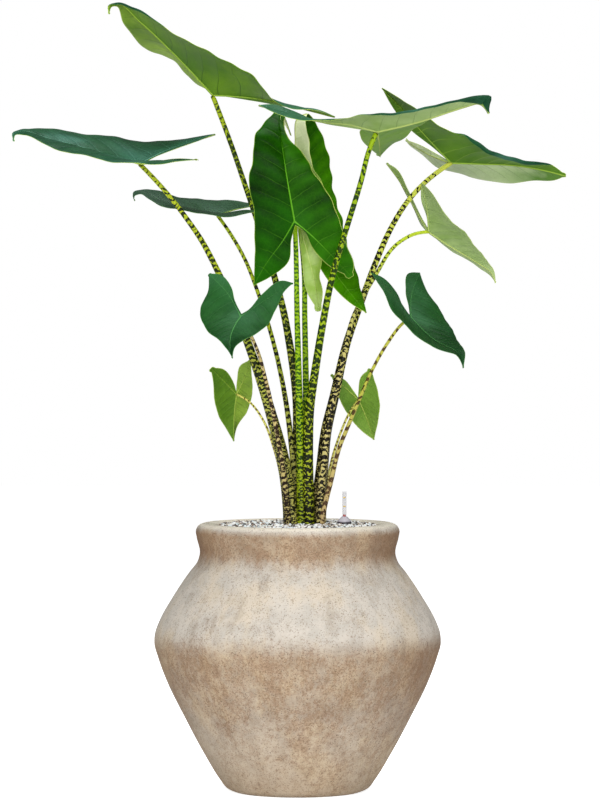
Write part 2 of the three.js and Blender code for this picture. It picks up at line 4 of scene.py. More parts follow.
import bpy
import numpy as np
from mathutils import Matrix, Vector


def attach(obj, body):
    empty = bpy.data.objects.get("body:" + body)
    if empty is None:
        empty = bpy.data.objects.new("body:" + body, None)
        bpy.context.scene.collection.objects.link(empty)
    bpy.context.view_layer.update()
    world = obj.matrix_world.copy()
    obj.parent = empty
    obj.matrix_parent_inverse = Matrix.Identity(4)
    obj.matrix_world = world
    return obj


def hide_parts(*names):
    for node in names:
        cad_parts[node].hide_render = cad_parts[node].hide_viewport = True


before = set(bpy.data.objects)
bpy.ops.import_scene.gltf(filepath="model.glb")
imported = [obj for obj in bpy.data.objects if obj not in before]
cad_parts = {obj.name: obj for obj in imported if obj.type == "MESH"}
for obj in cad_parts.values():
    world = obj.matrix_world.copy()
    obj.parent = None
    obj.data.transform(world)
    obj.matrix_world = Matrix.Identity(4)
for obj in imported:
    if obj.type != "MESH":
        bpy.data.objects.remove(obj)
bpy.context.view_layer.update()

MM = 0.001
TURN = 2 * math.pi
PLANT_BODY = "plant_and_planter"
FLOAT_BODY = "float"

# Camera and studio: each lamp's name, place, size, power and colour
CAMERA_PLACE = (0.003, -5.5, 0.643)
CAMERA_AIM = (0.003, 0.0, 0.489)
CAMERA_LENS = 198.1
CAMERA_REACH = 60
FLOOR_SIZE = 16.0
FLOOR_LINES = 9
FLOOR_HEIGHT = -0.0005
FLOOR_GLOW_SEEN = 0.84
FLOOR_GLOW_CAST = 0.1
WORLD_LIGHT = 0.19
LAMP_AIM = (0, 0, 0.5)
LAMPS = [
    ("key_box", (-0.9, -3.5, 2.1), 2.0, 84, (1.0, 0.99, 0.97)),
    ("fill_box", (0.9, -3.7, 1.1), 1.8, 56, (1.0, 0.99, 0.98)),
    ("top_box", (0.3, 0.2, 3.2), 2.4, 98, (0.97, 0.98, 1.0)),
    ("low_box", (-1.7, -2.6, 0.35), 1.2, 11, (1.0, 0.98, 0.95)),
]

# Planter
PLANTER_SIDES = 224
PLANTER_STEPS = 150
LIP_TOP = 335
INNER_FLOOR = 18
BASE_FLAT = 70
PLANTER_OUTSIDE = [
    (80, 0), (89, 4), (97, 14), (118, 48), (142, 93), (164, 138), (175, 168), (179.5, 185),
    (178.5, 198), (173, 213), (156, 243), (136, 273), (125, 288), (122.5, 297), (126.5, 318),
    (127.5, 326), (124.5, 332), (118, LIP_TOP),
]
PLANTER_INSIDE = [
    (110, LIP_TOP), (103, 333), (99.6, 329), (99, 320), (99, 304), (118, 272), (160, 207),
    (163.5, 187), (128, 100), (84, 22), (78, INNER_FLOOR),
]

# The wall's slow sines: strength, turns round it, rise and shift; foot and lip stay even
WALL_UNEVENNESS = 0.35
WALL_SWAYS = [(1.0, 2, 61, 0.0), (0.6, 5, -37, 1.3), (0.4, 9, 19, 0.0)]
EVEN_FOOT = 30
EVEN_LIP = 12

# Where the planter's tones and its painted light and shade change, in metres: up the wall, and
# from its left to its right. The foot's lighter band and the lip's light top are painted light,
# and the change from left to right weights the painted shade on the flanks.
FOOT_LIGHT_ENDS = (0.0, 0.12)
SHOULDER_STARTS = (0.174, 0.210)
NECK_STARTS = (0.274, 0.306)
NECK_ENDS = (0.321, 0.333)
LIP_LIGHT_STARTS = (0.329, 0.3343)
LEFT_TO_RIGHT = (-0.12, 0.12)

# Grit
GRIT_TOP = 332
GRIT_RADIUS = 98.5
GRIT_RELIEF = 0.9
RELIEF_X = 0.31
RELIEF_Y = 0.27
CROSS_RELIEF = 0.6
CROSS_RELIEF_X = 0.23
CROSS_RELIEF_Y = 0.37
GRIT_MOUND = 1.4
GRAIN_PITCH = 3.3
GRAIN_ROW_STRETCH = 1.15
TRIANGLE_HEIGHT = 0.866
GRAIN_SHAKE = 0.45
GRAIN_LAYERS = 2
LAYER_DEPTH = 1.0
LAYER_SHIFT = 0.5
GRAIN_CORNERS = 12
GRAIN_SIZES = (1.3, 2.5)
GRAIN_STRETCH = (0.75, 1.2)
GRAIN_ROUGHNESS = (0.82, 1.12)
GRAIN_LIFT = (-0.5, 0.7)
GRAIN_FROM_WALL = 1.2
GRAIN_FROM_GAUGE = 9.6
GRAIN_FROM_STALK = 1.0
GRAIN_SEED = 7

# Leaf stalks
FOOT_HEIGHT = 300.35
STALK_SIDES = 32
STALK_RING_PITCH = 4.0
STALK_FLARE = 1.8
STALK_CLEARANCE = 0.12
CLEARANCE_STEPS = 240
LOW_STALK = 0.3
LOW_STALK_STEPS = 60
JUNCTION_REACH = 12

# Blades: thickness, arch, waves and sag. WAVE_SHIFT and RUFFLE_SHIFT, in radians, are what the
# right half's waves are ahead of the left half's.
HALF_THICKNESS = 0.4
LEAST_THICKNESS = 0.05
MARGIN_THINNING = 0.45
THINNING_WIDTH = 6
MARGIN_BULGE = 0.3
BLADE_ARCH = 0.018
NOTCH_DEPTH = 1.8
BLADE_WAVE = 0.008
WAVES_ROUND_MARGIN = 4
WAVE_SHIFT = 2
RUFFLE = (0.0012, 0.0012)
RUFFLES_ROUND_MARGIN = 11
RUFFLE_SHIFT = 1.3
RUFFLED_WIDTH = 12
SLOW_RUFFLE_STRENGTH = 0.8
SLOW_RUFFLE_PACE = 0.43
SLOW_RUFFLE_SHIFT = 1.1
DROOP_FROM = 0.84
END_RADIUS = 1.2

# Blades: rows from the veins to the margin and the points along each
ROW_PITCH = 3.2
LEAST_LOBE_ROWS = 6
LEAST_RIB_ROWS = 10
CLOSE_ROWS = (0.05, 0.18, 0.4, 0.68)
ACROSS_STEPS = 16
RIB_COLUMNS = (0.0, 0.3, 0.6, 0.85, 1.0, 1.25)
MOST_RIB_SHARE = 0.3

# Blades: ribs and side veins. The two signs are those of the left and the right half, and side
# veins leave the rib by turns, so they are shifted by that share of their spacing.
RIB_WIDTH = 0.46
RIB_TAPER = 0.8
LOBE_RIB_WIDTH = 0.32
LOBE_RIB_TAPER = 1.2
LOBE_RIB_FROM = 0.08
RIB_END = 0.2
RIB_RIDGE = 0.9
RIDGE_WIDTHS = (0.3, 0.9)
RIB_GROOVE = 0.25
SIDE_VEINS = (7, 0.6)
SIDE_SIGNS = (1, -1)
SIDE_VEIN_BEND = 1.25
VEIN_OFFSET = 0.18
QUILTING = 0.034
QUILTING_FROM = 0.2

# Blades: margins that roll under
ROLL_SHARE = 0.42
ROLL_RADIUS = 2.0
ROLL_TURN = 2.9
ROLL_STEPS = 9
ROLL_STARTS_OVER = 0.12
ROLL_STOPS_OVER = 0.03
ROLL_CHANGES_OVER = 0.09
MOST_ROLLED = 0.8

# Water gauge: profiles are (radius, height) pairs
GAUGE_X = 58.5
GAUGE_SIDES = 48
GAUGE_TOP = 375
GAUGE_SEAT = 334
TUBE_OUTER = 3
TUBE_INNER = 2.3
SHAFT_BOTTOM = 40
SHAFT_FLOOR = SHAFT_BOTTOM + 1.5
CHAMBER_OUTER = 8
CHAMBER_BORE = 7.1
CHAMBER_TOP = 110
CHAMBER_ROOF = CHAMBER_TOP - 1.2
TUBE_PROFILE = [
    (0, GAUGE_TOP - 1.5), (TUBE_INNER, GAUGE_TOP - 1.5), (TUBE_INNER, CHAMBER_ROOF),
    (CHAMBER_BORE, CHAMBER_ROOF), (CHAMBER_BORE, SHAFT_FLOOR), (CHAMBER_BORE - 2, SHAFT_FLOOR),
    (CHAMBER_BORE - 2, SHAFT_BOTTOM), (CHAMBER_OUTER, SHAFT_BOTTOM), (CHAMBER_OUTER, CHAMBER_TOP),
    (TUBE_OUTER, CHAMBER_TOP), (TUBE_OUTER, GAUGE_TOP - 0.8), (TUBE_OUTER - 0.3, GAUGE_TOP - 0.2),
    (TUBE_OUTER - 0.9, GAUGE_TOP), (0, GAUGE_TOP),
]
FLOAT_RADIUS = 1.9
FLOAT_BODY_RADIUS = CHAMBER_BORE - 0.8
FLOAT_SEAT = 41.85
FLOAT_BODY_TOP = FLOAT_SEAT + 32
FLOAT_TIP = 345.8
FLOAT_PROFILE = [
    (0, FLOAT_SEAT), (FLOAT_BODY_RADIUS, FLOAT_SEAT), (FLOAT_BODY_RADIUS, FLOAT_BODY_TOP),
    (1, FLOAT_BODY_TOP), (1, FLOAT_TIP - 5), (FLOAT_RADIUS, FLOAT_TIP - 5),
    (FLOAT_RADIUS, FLOAT_TIP - 0.6), (FLOAT_RADIUS - 0.6, FLOAT_TIP), (0, FLOAT_TIP),
]
CAP_PROFILE = [
    (3.35, GAUGE_SEAT), (8, GAUGE_SEAT), (8.9, 335.4), (8.8, 336.8), (7.4, 339.3), (5.7, 340.9),
    (4.5, 342.3), (3.35, 343.2),
]
CAP_STEPS = 48
CAP_TONE_CHANGE = (0.3362, 0.3378)
MARK_HEIGHTS = (356.0, 367.2)
MARK_HALF_HEIGHT = 0.8
MARK_HALF_ANGLE = 0.45
MARK_STEPS = 12
MARK_INNER = TUBE_OUTER - 0.1
MARK_OUTER = TUBE_OUTER + 0.12

# Each leaf. Its blade has a rib from the stalk to the tip, a droop where the tip sags, and for
# the left and the right half the vein of the lobe, the outer margin from lobe tip to leaf tip,
# and the inner margin at the notch. Its stalk has a radius at the foot and one at the blade,
# and a path up from the grit.
LEAVES = {
    "crown_left": dict(
        rib=[(-107, 60, 872), (-154, 30, 922), (-197, 2, 962), (-223, -14, 982), (-234, -20, 979),
            (-234, -22, 969)],
        lobe=[[(-45, 58, 867), (0, 62, 857), (47, 66, 845)], [(-89, 112, 877), (-68, 158, 880)]],
        outer=[[(21, 44, 852), (-8, 34, 855), (-32, 20, 865), (-57, 0, 895), (-106, -20, 919),
            (-164, -34, 952), (-202, -30, 976), (-226, -18, 984), (-235, -21, 980)],
            [(-92, 160, 888), (-117, 118, 881), (-139, 95, 899), (-159, 80, 916), (-179, 66, 926),
            (-202, 42, 938), (-217, 10, 961), (-225, -10, 979), (-232, -19, 977)]],
        inner=[[(-45, 64, 863), (-10, 72, 857), (23, 74, 855)], [(-93, 90, 872), (-76, 134, 876)]],
        radii=(8, 3),
        path=[(2, 14, 333), (0, 16, 438), (-1, 18, 488), (-11, 24, 564), (-18, 28, 601), (-28, 32, 639),
            (-45, 38, 695), (-64, 46, 752), (-85, 54, 813), (-107, 60, 871)]),
    "far_left": dict(
        rib=[(-195, -30, 783), (-251, -30, 799), (-311, -30, 815), (-344, -30, 823), (-353, -30, 820),
            (-352, -30, 811)],
        lobe=[[(-160, -70, 786), (-122, -108, 786)],
            [(-168, -14, 798), (-137, 0, 810), (-103, 5, 821)]],
        outer=[[(-150, -112, 783), (-193, -92, 781), (-228, -80, 785), (-274, -76, 794),
            (-315, -60, 807), (-339, -40, 819), (-351, -31, 818)],
            [(-131, 20, 818), (-160, 30, 813), (-188, 30, 813), (-233, 24, 818), (-297, 12, 826),
            (-333, -10, 828), (-346, -26, 825), (-354, -29, 821)]],
        inner=[[(-172, -58, 786), (-144, -90, 788)],
            [(-181, -24, 790), (-149, -14, 803), (-122, -4, 813)]],
        radii=(11, 2.8),
        path=[(-8, -4, 334), (-18, -2, 414), (-31, -2, 464), (-46, -6, 514), (-59, -10, 552),
            (-100, -18, 651), (-120, -21, 689), (-137, -24, 714), (-166, -27, 751), (-196, -30, 783)]),
    "mid_left": dict(
        rib=[(-101, 70, 722), (-136, 78, 729), (-175, 86, 740), (-201, 90, 750), (-209, 90, 747),
            (-207, 90, 739)],
        lobe=[[(-78, 45, 723), (-52, 20, 725)], [(-73, 86, 730), (-45, 100, 735)]],
        outer=[[(-67, 10, 721), (-95, 16, 718), (-128, 32, 724), (-161, 44, 729), (-189, 66, 741),
            (-200, 82, 748), (-207, 88, 745)],
            [(-66, 116, 738), (-99, 119, 741), (-142, 122, 743), (-178, 116, 752), (-199, 100, 754),
            (-209, 91, 749)]],
        inner=[[(-83, 56, 725), (-62, 34, 727)], [(-81, 78, 728), (-60, 92, 732)]],
        radii=(5, 2.2),
        path=[(-2, 4, 334), (-7, 14, 426), (-15, 22, 488), (-28, 34, 551), (-51, 46, 626),
            (-66, 52, 664), (-88, 62, 702), (-101, 70, 720)]),
    "crown_right": dict(
        rib=[(98, -60, 822), (151, -92, 834), (192, -118, 847), (220, -138, 855), (236, -150, 859)],
        droop=(-4, -4, -18),
        lobe=[[(102, 0, 809), (104, 60, 795)],
            [(65, -58, 831), (28, -55, 835), (-9, -52, 845), (-48, -50, 855)]],
        outer=[[(113, 62, 804), (136, 22, 819), (157, -34, 835), (182, -68, 845), (206, -104, 854),
            (225, -132, 854)],
            [(-17, -74, 841), (8, -82, 834), (30, -92, 835), (64, -108, 838), (107, -126, 843),
            (155, -144, 848), (191, -152, 858), (215, -154, 862)]],
        inner=[[(80, -44, 825), (79, -14, 816), (92, 32, 803)],
            [(65, -52, 827), (25, -40, 835), (-7, -40, 849), (-29, -44, 856)]],
        radii=(8.5, 3.1),
        path=[(14, -10, 334), (13, -14, 427), (15, -18, 477), (22, -24, 527), (30, -30, 577),
            (45, -40, 651), (60, -47, 701), (79, -55, 763), (88, -58, 798), (97, -60, 820)]),
    "far_right": dict(
        rib=[(194, 70, 787), (228, 66, 786), (280, 54, 783), (315, 46, 776), (337, 40, 770)],
        lobe=[[(167, 112, 799), (150, 136, 810), (139, 150, 818)],
            [(159, 46, 823), (128, 30, 857), (106, 20, 879)]],
        outer=[[(143, 160, 812), (162, 154, 798), (182, 140, 781), (215, 122, 773), (247, 104, 763),
            (292, 84, 764), (323, 58, 765)],
            [(128, 6, 866), (164, -6, 840), (190, -4, 825), (217, 4, 816), (244, 8, 801), (281, 20, 789),
            (316, 34, 785)]],
        inner=[[(181, 92, 796), (156, 124, 811)], [(172, 60, 805), (139, 46, 831), (116, 30, 861)]],
        radii=(10, 3),
        path=[(24, 6, 333), (31, 7, 407), (36, 9, 451), (45, 12, 489), (63, 25, 564), (81, 38, 614),
            (100, 40, 665), (116, 48, 701), (138, 56, 737), (163, 63, 764), (194, 70, 787)]),
    "centre_front": dict(
        rib=[(-4, -25, 712), (-16, -40, 784), (-22, -20, 832), (-20, 4, 849), (-8, 34, 821)],
        lobe=[[(-19, -24, 687), (-38, -22, 661), (-54, -20, 633)],
            [(18, -22, 694), (44, -16, 668), (67, -12, 643)]],
        outer=[[(-54, -18, 659), (-52, -28, 690), (-57, -38, 738), (-58, -44, 780), (-52, -36, 815),
            (-38, -14, 839), (-27, 2, 849), (-17, 26, 836)],
            [(70, -14, 653), (61, -22, 682), (50, -30, 720), (32, -34, 754), (13, -38, 786),
            (-9, -32, 813), (-17, -12, 836), (-16, 10, 841)]],
        inner=[[(-8, -22, 689), (-11, -20, 663), (-34, -18, 643)],
            [(9, -20, 699), (18, -18, 680), (43, -14, 654)]],
        radii=(7, 3),
        path=[(5, -8, 334), (2, -14, 489), (-1, -14, 614), (-2, -3, 674), (-3, -4, 700),
            (-4, -25, 713)]),
    "centre_back": dict(
        rib=[(2, 20, 712), (-1, 28, 764), (-2, 28, 812), (0, 24, 841), (8, 16, 850)],
        droop=(4, -2, -4),
        lobe=[[(12, 16, 674), (22, 12, 634), (27, 8, 600)],
            [(26, 18, 680), (53, 14, 639), (86, 8, 598)]],
        outer=[[(31, 2, 619), (28, -2, 649), (38, -6, 684), (49, -6, 717), (35, -8, 751), (17, -6, 788),
            (13, 2, 819), (9, 10, 841)],
            [(80, 30, 626), (70, 46, 660), (55, 58, 715), (45, 58, 755), (38, 52, 798), (26, 42, 831),
            (13, 26, 848)]],
        inner=[[(3, 18, 694), (6, 16, 661), (11, 12, 626)],
            [(18, 14, 674), (41, 8, 635), (66, 4, 610)]],
        radii=(6.5, 3),
        path=[(12, 4, 334), (11, 8, 464), (9, 18, 589), (8, 32, 651), (5, 41, 685), (3, 38, 703),
            (1, 22, 712)]),
    "low_left": dict(
        rib=[(-70, -80, 594), (-80, -108, 576), (-82, -136, 559), (-79, -152, 544)],
        lobe=[[(-40, -72, 614), (-6, -60, 635)], [(-86, -64, 622), (-110, -46, 646)]],
        outer=[[(-17, -66, 624), (-27, -82, 602), (-40, -104, 581), (-66, -134, 565), (-77, -146, 556)],
            [(-110, -46, 630), (-120, -66, 602), (-112, -98, 579), (-91, -130, 561), (-83, -146, 551)]],
        inner=[[(-62, -78, 601), (-44, -70, 621), (-18, -61, 638)],
            [(-77, -72, 612), (-82, -62, 630), (-97, -50, 646)]],
        radii=(5, 2),
        path=[(-12, -14, 335), (-24, -27, 440), (-33, -35, 487), (-40, -42, 517), (-47, -50, 544),
            (-56, -62, 567), (-70, -79, 593)]),
    "low_right": dict(
        rib=[(140, -50, 593), (166, -66, 567), (195, -90, 551), (205, -104, 542)],
        droop=(-2, 0, -11),
        lobe=[[(142, -16, 620), (153, 18, 648)], [(117, -48, 624), (91, -44, 648)]],
        outer=[[(158, 12, 633), (174, -4, 607), (189, -30, 582), (200, -70, 560), (206, -96, 548)],
            [(104, -66, 628), (117, -84, 601), (140, -98, 576), (165, -110, 557), (193, -110, 548)]],
        inner=[[(138, -38, 605), (135, -8, 626), (141, 16, 648)],
            [(133, -46, 602), (123, -38, 623), (107, -38, 641)]],
        radii=(4, 1.9),
        path=[(30, -12, 334), (42, -15, 390), (53, -20, 433), (62, -24, 455), (76, -30, 489),
            (94, -38, 530), (111, -43, 560), (131, -48, 586), (140, -50, 593)]),
    "mid_right": dict(
        rib=[(166, 80, 700), (189, 98, 685), (220, 124, 667), (258, 155, 644)],
        droop=(-4, 0, -9),
        lobe=[[(146, 86, 735), (130, 90, 764), (113, 94, 787)], [(163, 58, 732), (156, 40, 761)]],
        outer=[[(130, 112, 764), (146, 130, 733), (167, 140, 699), (193, 152, 680), (223, 160, 661),
            (245, 160, 648)],
            [(169, 30, 748), (184, 34, 723), (209, 62, 701), (229, 100, 678), (247, 136, 658)]],
        inner=[[(155, 80, 722), (140, 82, 753), (125, 88, 780)], [(164, 74, 715), (156, 56, 740)]],
        radii=(6, 2.2),
        path=[(28, -8, 334), (42, 4, 476), (54, 10, 526), (71, 25, 595), (97, 38, 643), (124, 54, 683),
            (145, 66, 696), (166, 80, 700)]),
    "young_left": dict(
        rib=[(-77, 50, 495), (-80, 66, 472), (-81, 88, 434)],
        lobe=[[(-94, 36, 513), (-109, 22, 528)], [(-66, 38, 518), (-59, 30, 538)]],
        outer=[[(-106, 32, 511), (-105, 50, 490), (-100, 68, 468), (-88, 84, 446)],
            [(-58, 32, 522), (-57, 44, 500), (-64, 64, 473), (-78, 82, 450)]],
        inner=[[(-81, 42, 510), (-94, 30, 527)], [(-76, 44, 513), (-72, 36, 531)]],
        radii=(3, 1.3),
        path=[(-15, 6, 333), (-28, 14, 423), (-45, 25, 466), (-60, 38, 485), (-77, 50, 495)]),
    "young_right": dict(
        rib=[(77, 60, 488), (87, 78, 465), (97, 95, 436)],
        lobe=[[(58, 44, 505), (42, 30, 520)], [(86, 46, 507), (92, 30, 527)]],
        outer=[[(47, 38, 507), (53, 50, 489), (65, 66, 467), (82, 84, 447)],
            [(97, 34, 512), (103, 46, 488), (102, 68, 462), (99, 84, 446)]],
        inner=[[(71, 52, 498), (58, 40, 514)], [(77, 54, 499), (80, 42, 517)]],
        radii=(3, 1.4),
        path=[(33, 2, 334), (43, 18, 413), (55, 36, 449), (64, 48, 469), (75, 60, 486)]),
}

# The looks of each leaf: its upper face left and right of the rib, its underside left and right,
# its rim, and its stalk's skin and material slot. Where the undersides of one blade differ, that
# is partly painted light and shade.
LOOKS = {
    "crown_left": ("teal", "teal", "moss", "heath", "bright", "yellow", "petiole_green"),
    "far_left": ("teal", "teal", "lime", "lime", "bright", "fine", "petiole_green"),
    "mid_left": ("slate", "slate", "lime", "lime", "dull", "sparse", "petiole_green"),
    "crown_right": ("teal", "teal", "fern", "sage", "bright", "bold", "petiole_green"),
    "far_right": ("teal", "teal", "willow", "olive", "bright", "cream", "petiole_cream"),
    "centre_front": ("bottle", "holly", "cream", "cream", "bright", "grass", "petiole_green"),
    "centre_back": ("leek", "leek", "cream", "cream", "bright", "grass", "petiole_green"),
    "low_left": ("fir", "fir", "lime", "lime", "dull", "tan", "petiole_tan"),
    "low_right": ("fir", "fir", "lime", "lime", "dull", "thin_tan", "petiole_tan"),
    "mid_right": ("teal", "teal", "sage", "sage", "pale", "plain", "petiole_cream"),
    "young_left": ("leek", "leek", "moss", "heath", "bright", "straw", "petiole_tan"),
    "young_right": ("leek", "leek", "fern", "fern", "bright", "straw", "petiole_tan"),
}

# Wavier margins than the rest: how far up and down and how far in and out, as shares of the
# rib's length
RUFFLED = {
    "centre_front": (0.0065, 0.0065),
    "centre_back": (0.0045, 0.006),
    "crown_left": (0.002, 0.0035),
    "far_right": (0.002, 0.004),
    "crown_right": (0.002, 0.003),
}

# Blades with another number of side veins along the rib or another sweep of them
OWN_SIDE_VEINS = {"centre_front": (9, 0.25), "centre_back": (8, 0.35)}

# Blunter lobes than the rest, and blunter tips: the radius of the round end
LOBE_RADII = {
    ("crown_left", 0): 1.6, ("far_left", 0): 2.2, ("far_left", 1): 1.8, ("crown_right", 0): 5.0,
    ("far_right", 0): 3.4, ("centre_front", 0): 1.8, ("centre_front", 1): 5.5,
    ("centre_back", 0): 5.5, ("low_left", 1): 3.0, ("mid_right", 0): 2.2,
    ("young_left", 0): 4.0, ("young_left", 1): 3.0, ("young_right", 0): 1.8,
    ("young_right", 1): 4.0,
}
TIP_RADII = {"far_right": 4.0, "centre_front": 3.0}

# Margins that stand out near the tip: how far, where along the rib, and over how much of it
FLARED = {("crown_right", 1): ((13, 0, 5), 0.92, 0.05)}

# Margins that roll under: from and to which share of the outer margin, how wide at first and
# how wide from another share on
ROLLED = {
    ("crown_left", 0): (0.74, 0.97, 2.2, 2.2, 0.94),
    ("crown_right", 1): (0.45, 1.03, 2.2, 13.0, 0.95),
    ("far_right", 1): (0.42, 0.92, 4.5, 2.0, 0.89),
}

# Upper faces: dark green, light green, vein, edge and a painted bluish sheen, and how much darker at the
# tip
UPPER_FACES = {
    "bottle": ("031a00", "1a5600", "4f9018", "6c9424", "1e6206", -0.32),
    "holly": ("082a00", "2c6c02", "5fa028", "a4b45c", "286418", 0.0),
    "leek": ("144200", "3f8000", "74a834", "9fb04c", "2c6e30", 0.3),
    # The bluish greens of fir, teal and slate are partly a painted sheen, for faces seen at a slant.
    "fir": ("0e3214", "225223", "4f8a4c", "38702c", "3e6e4a", 0.3),
    "teal": ("133a24", "295a38", "6aa088", "44803c", "54887a", 0.3),
    "slate": ("1d3a26", "34553a", "5f8658", "4a723c", "5a7868", 0.3),
}

# Undersides: dark green, light green, rib, side veins, the share of light green at the stalk,
# how much of it is added up to the tip, and how strong the side veins are. Their greens are partly
# painted light and shade: willow, heath and sage are pale for halves that face the light, olive is
# deeper for a half in shade and moss for a half lit through from behind, and cream's paler tip is
# painted light on a part in shade.
UNDERSIDES = {
    "olive": ("345a08", "5c8424", "8aa838", "7c9c34", 0.1, 0.2, 0.5),
    "moss": ("386006", "668c1c", "8aa838", "2c4e08", 0.1, 0.1, 0.65),
    "heath": ("325604", "88a838", "a4b850", "2a4806", 0.55, -0.8, 0.65),
    "fern": ("507a18", "7a9c3c", "b4c25c", "3c5e14", 0.0, 0.35, 0.4),
    "sage": ("708c44", "a0b47c", "a6b664", "4e6830", 0.0, 0.35, 0.5),
    "willow": ("4a7220", "bccb9c", "a4b44e", "36561a", 0.6, -1.1, 0.65),
    "lime": ("8fae50", "b4c67c", "aabf50", "627c36", 0.0, 0.35, 0.4),
    "cream": ("86a642", "e4ecc0", "c4d080", "5c7630", -0.3, 1.5, 0.2),
}

# Rims: light and dark green
RIMS = {
    "bright": ("aebf52", "6f9426"),
    "pale": ("c4cc88", "9cae64"),
    "dull": ("6f9a52", "3f6f3c"),
}

# What the pattern of the veins gives out, and how far its pale edge reaches in
LEAF_MARKS = ("Rib", "Side Veins", "Bulge Light", "Net", "Edge", "Blotch", "Tip", "Lobe", "Relief", "Stalk Sheen")
EDGE_WIDTH = 0.7

# Stalk skins: ring spacing, how much is dark at the foot and at the top, how late that change comes,
# share of the fine pattern at the foot, stretch along the stalk, how bare it is by the blade,
# ground and mark colours from foot to top
BAND_INPUTS = ("Spacing", "Dark Foot", "Dark Top", "Bend", "Fine Foot", "Stretch", "Bare Top")
STALK_SKINS = {
    "yellow": (7.6, 0.74, 0.61, 1.0, 0.6, 1.0, 0.2, ("aaa650", "8ea012"), ("121202", "1c3000")),
    "fine": (6.6, 0.68, 0.50, 1.0, 1.0, 1.0, 0.25, ("aaa656", "96a41a"), ("121202", "182400")),
    "sparse": (9.0, 0.56, 0.44, 1.0, 0.5, 1.2, 0.25, ("b4b05c", "92a418"), ("121002", "0e1600")),
    "bold": (8.2, 0.68, 0.58, 1.0, 0.45, 1.0, 0.25, ("96a020", "84a00a"), ("0a0c02", "1a3400")),
    "grass": (5.4, 0.53, 0.46, 1.0, 0.5, 1.0, 0.45, ("8a9a14", "84ac08"), ("0a1202", "2c5a00")),
    "cream": (7.2, 0.80, 0.34, 1.4, 0.85, 1.0, 0.3, ("b0a464", "b8c048"), ("120e04", "121400")),
    "plain": (7.5, 0.62, 0.22, 3.0, 0.3, 1.0, 0.3, ("b8ac6c", "b0c42e"), ("120e04", "2a3804")),
    "tan": (7.0, 0.70, 0.44, 1.0, 0.5, 1.0, 0.1, ("b0a264", "b4a26c"), ("1c120a", "2a1c10")),
    "thin_tan": (11.0, 0.56, 0.30, 1.0, 0.3, 1.7, 0.1, ("b8a070", "a4a43c"), ("4c3626", "44340e")),
    "straw": (5.5, 0.46, 0.32, 1.0, 0.0, 1.0, 0.1, ("cec28c", "d0cc68"), ("5a4420", "6c5c24")),
}

# Grit: shares from which on a grain has a tone
GRAIN_TONES = [(0.0, "ffffff"), (0.32, "e0eaf0"), (0.50, "cbc0b3"), (0.60, "94806f"),
               (0.70, "61524a"), (0.82, "2e2726")]
BED_TONES = [(0.2, "3a332f"), (0.8, "6f655c")]


class SmoothCurve:
    """A smooth line through points, by the share of its length from 0 to 1: between two points it
    is a cubic whose end slopes are the distance-weighted means of the neighbouring chords."""

    def __init__(self, points):
        self.points = np.array(points, float)
        steps = np.diff(self.points, axis=0)
        spans = np.linalg.norm(steps, axis=1)
        self.length = spans.sum()
        self.shares = spans / self.length
        self.knots = np.concatenate([[0.0], np.cumsum(self.shares)])
        chords = steps / self.shares[:, None]
        before = self.shares[:-1, None]
        after = self.shares[1:, None]
        self.slopes = np.zeros_like(self.points)
        self.slopes[1:-1] = (chords[1:] * before + chords[:-1] * after) / (before + after)
        for end, inner in ((0, 1), (-1, -2)):
            self.slopes[end] = chords[end]
            if len(self.points) > 2:
                self.slopes[end] = 1.5 * chords[end] - 0.5 * self.slopes[inner]

    def at(self, share):
        """The points at those shares: the cubic of the span that each share falls in."""
        share = np.clip(np.asarray(share, float), 0.0, 1.0)
        span = np.searchsorted(self.knots, share, side="right") - 1
        span = np.clip(span, 0, len(self.shares) - 1)
        width = self.shares[span][..., None]
        x = (share - self.knots[span])[..., None] / width
        start = self.points[span] * (2 * x**3 - 3 * x**2 + 1)
        leave = self.slopes[span] * (x**3 - 2 * x**2 + x) * width
        end = self.points[span + 1] * (3 * x**2 - 2 * x**3)
        arrive = self.slopes[span + 1] * (x**3 - x**2) * width
        return start + leave + end + arrive

    def ahead(self, share, reach=0.003):
        """The unit direction at those shares, from a point just before to one just after."""
        step = self.at(share + reach) - self.at(share - reach)
        return step / np.linalg.norm(step, axis=-1, keepdims=True)


def smooth_profile(pairs, steps):
    """A smooth curve through (radius, height) pairs, at those shares of its length."""
    return SmoothCurve([(radius, 0, height) for radius, height in pairs]).at(steps)[:, [0, 2]]


def unit(vectors):
    """The same directions at length 1, and zero where there is none."""
    vectors = np.asarray(vectors, float)
    return vectors / np.maximum(np.linalg.norm(vectors, axis=-1, keepdims=True), 1e-12)


def smooth_step(low, high, value):
    """0 below low, 1 above high and a smooth S between."""
    x = np.clip((value - low) / (high - low), 0.0, 1.0)
    return x * x * (3 - 2 * x)


def grid_triangles(rows, columns, wrapped=False, flipped=False):
    """Two triangles for every cell of a grid that is numbered row by row."""
    numbers = np.arange(rows * columns).reshape(rows, columns)
    if wrapped:
        numbers = np.concatenate([numbers, numbers[:, :1]], axis=1)
    corners = numbers[:-1, :-1], numbers[1:, :-1], numbers[1:, 1:], numbers[:-1, 1:]
    a, b, c, d = (corner.ravel() for corner in corners)
    faces = np.concatenate([np.stack([a, b, c], 1), np.stack([a, c, d], 1)])
    return faces[:, ::-1] if flipped else faces


def welded(points, faces, extras=()):
    """Points closer than a thousandth become one, and triangles that lose a side go."""
    keys = np.round(points * 1000).astype(np.int64)
    _, first, place = np.unique(keys, axis=0, return_index=True, return_inverse=True)
    faces = place.ravel()[faces]
    whole = (faces != np.roll(faces, 1, axis=1)).all(1)
    return points[first], faces[whole], [extra[first] for extra in extras], whole


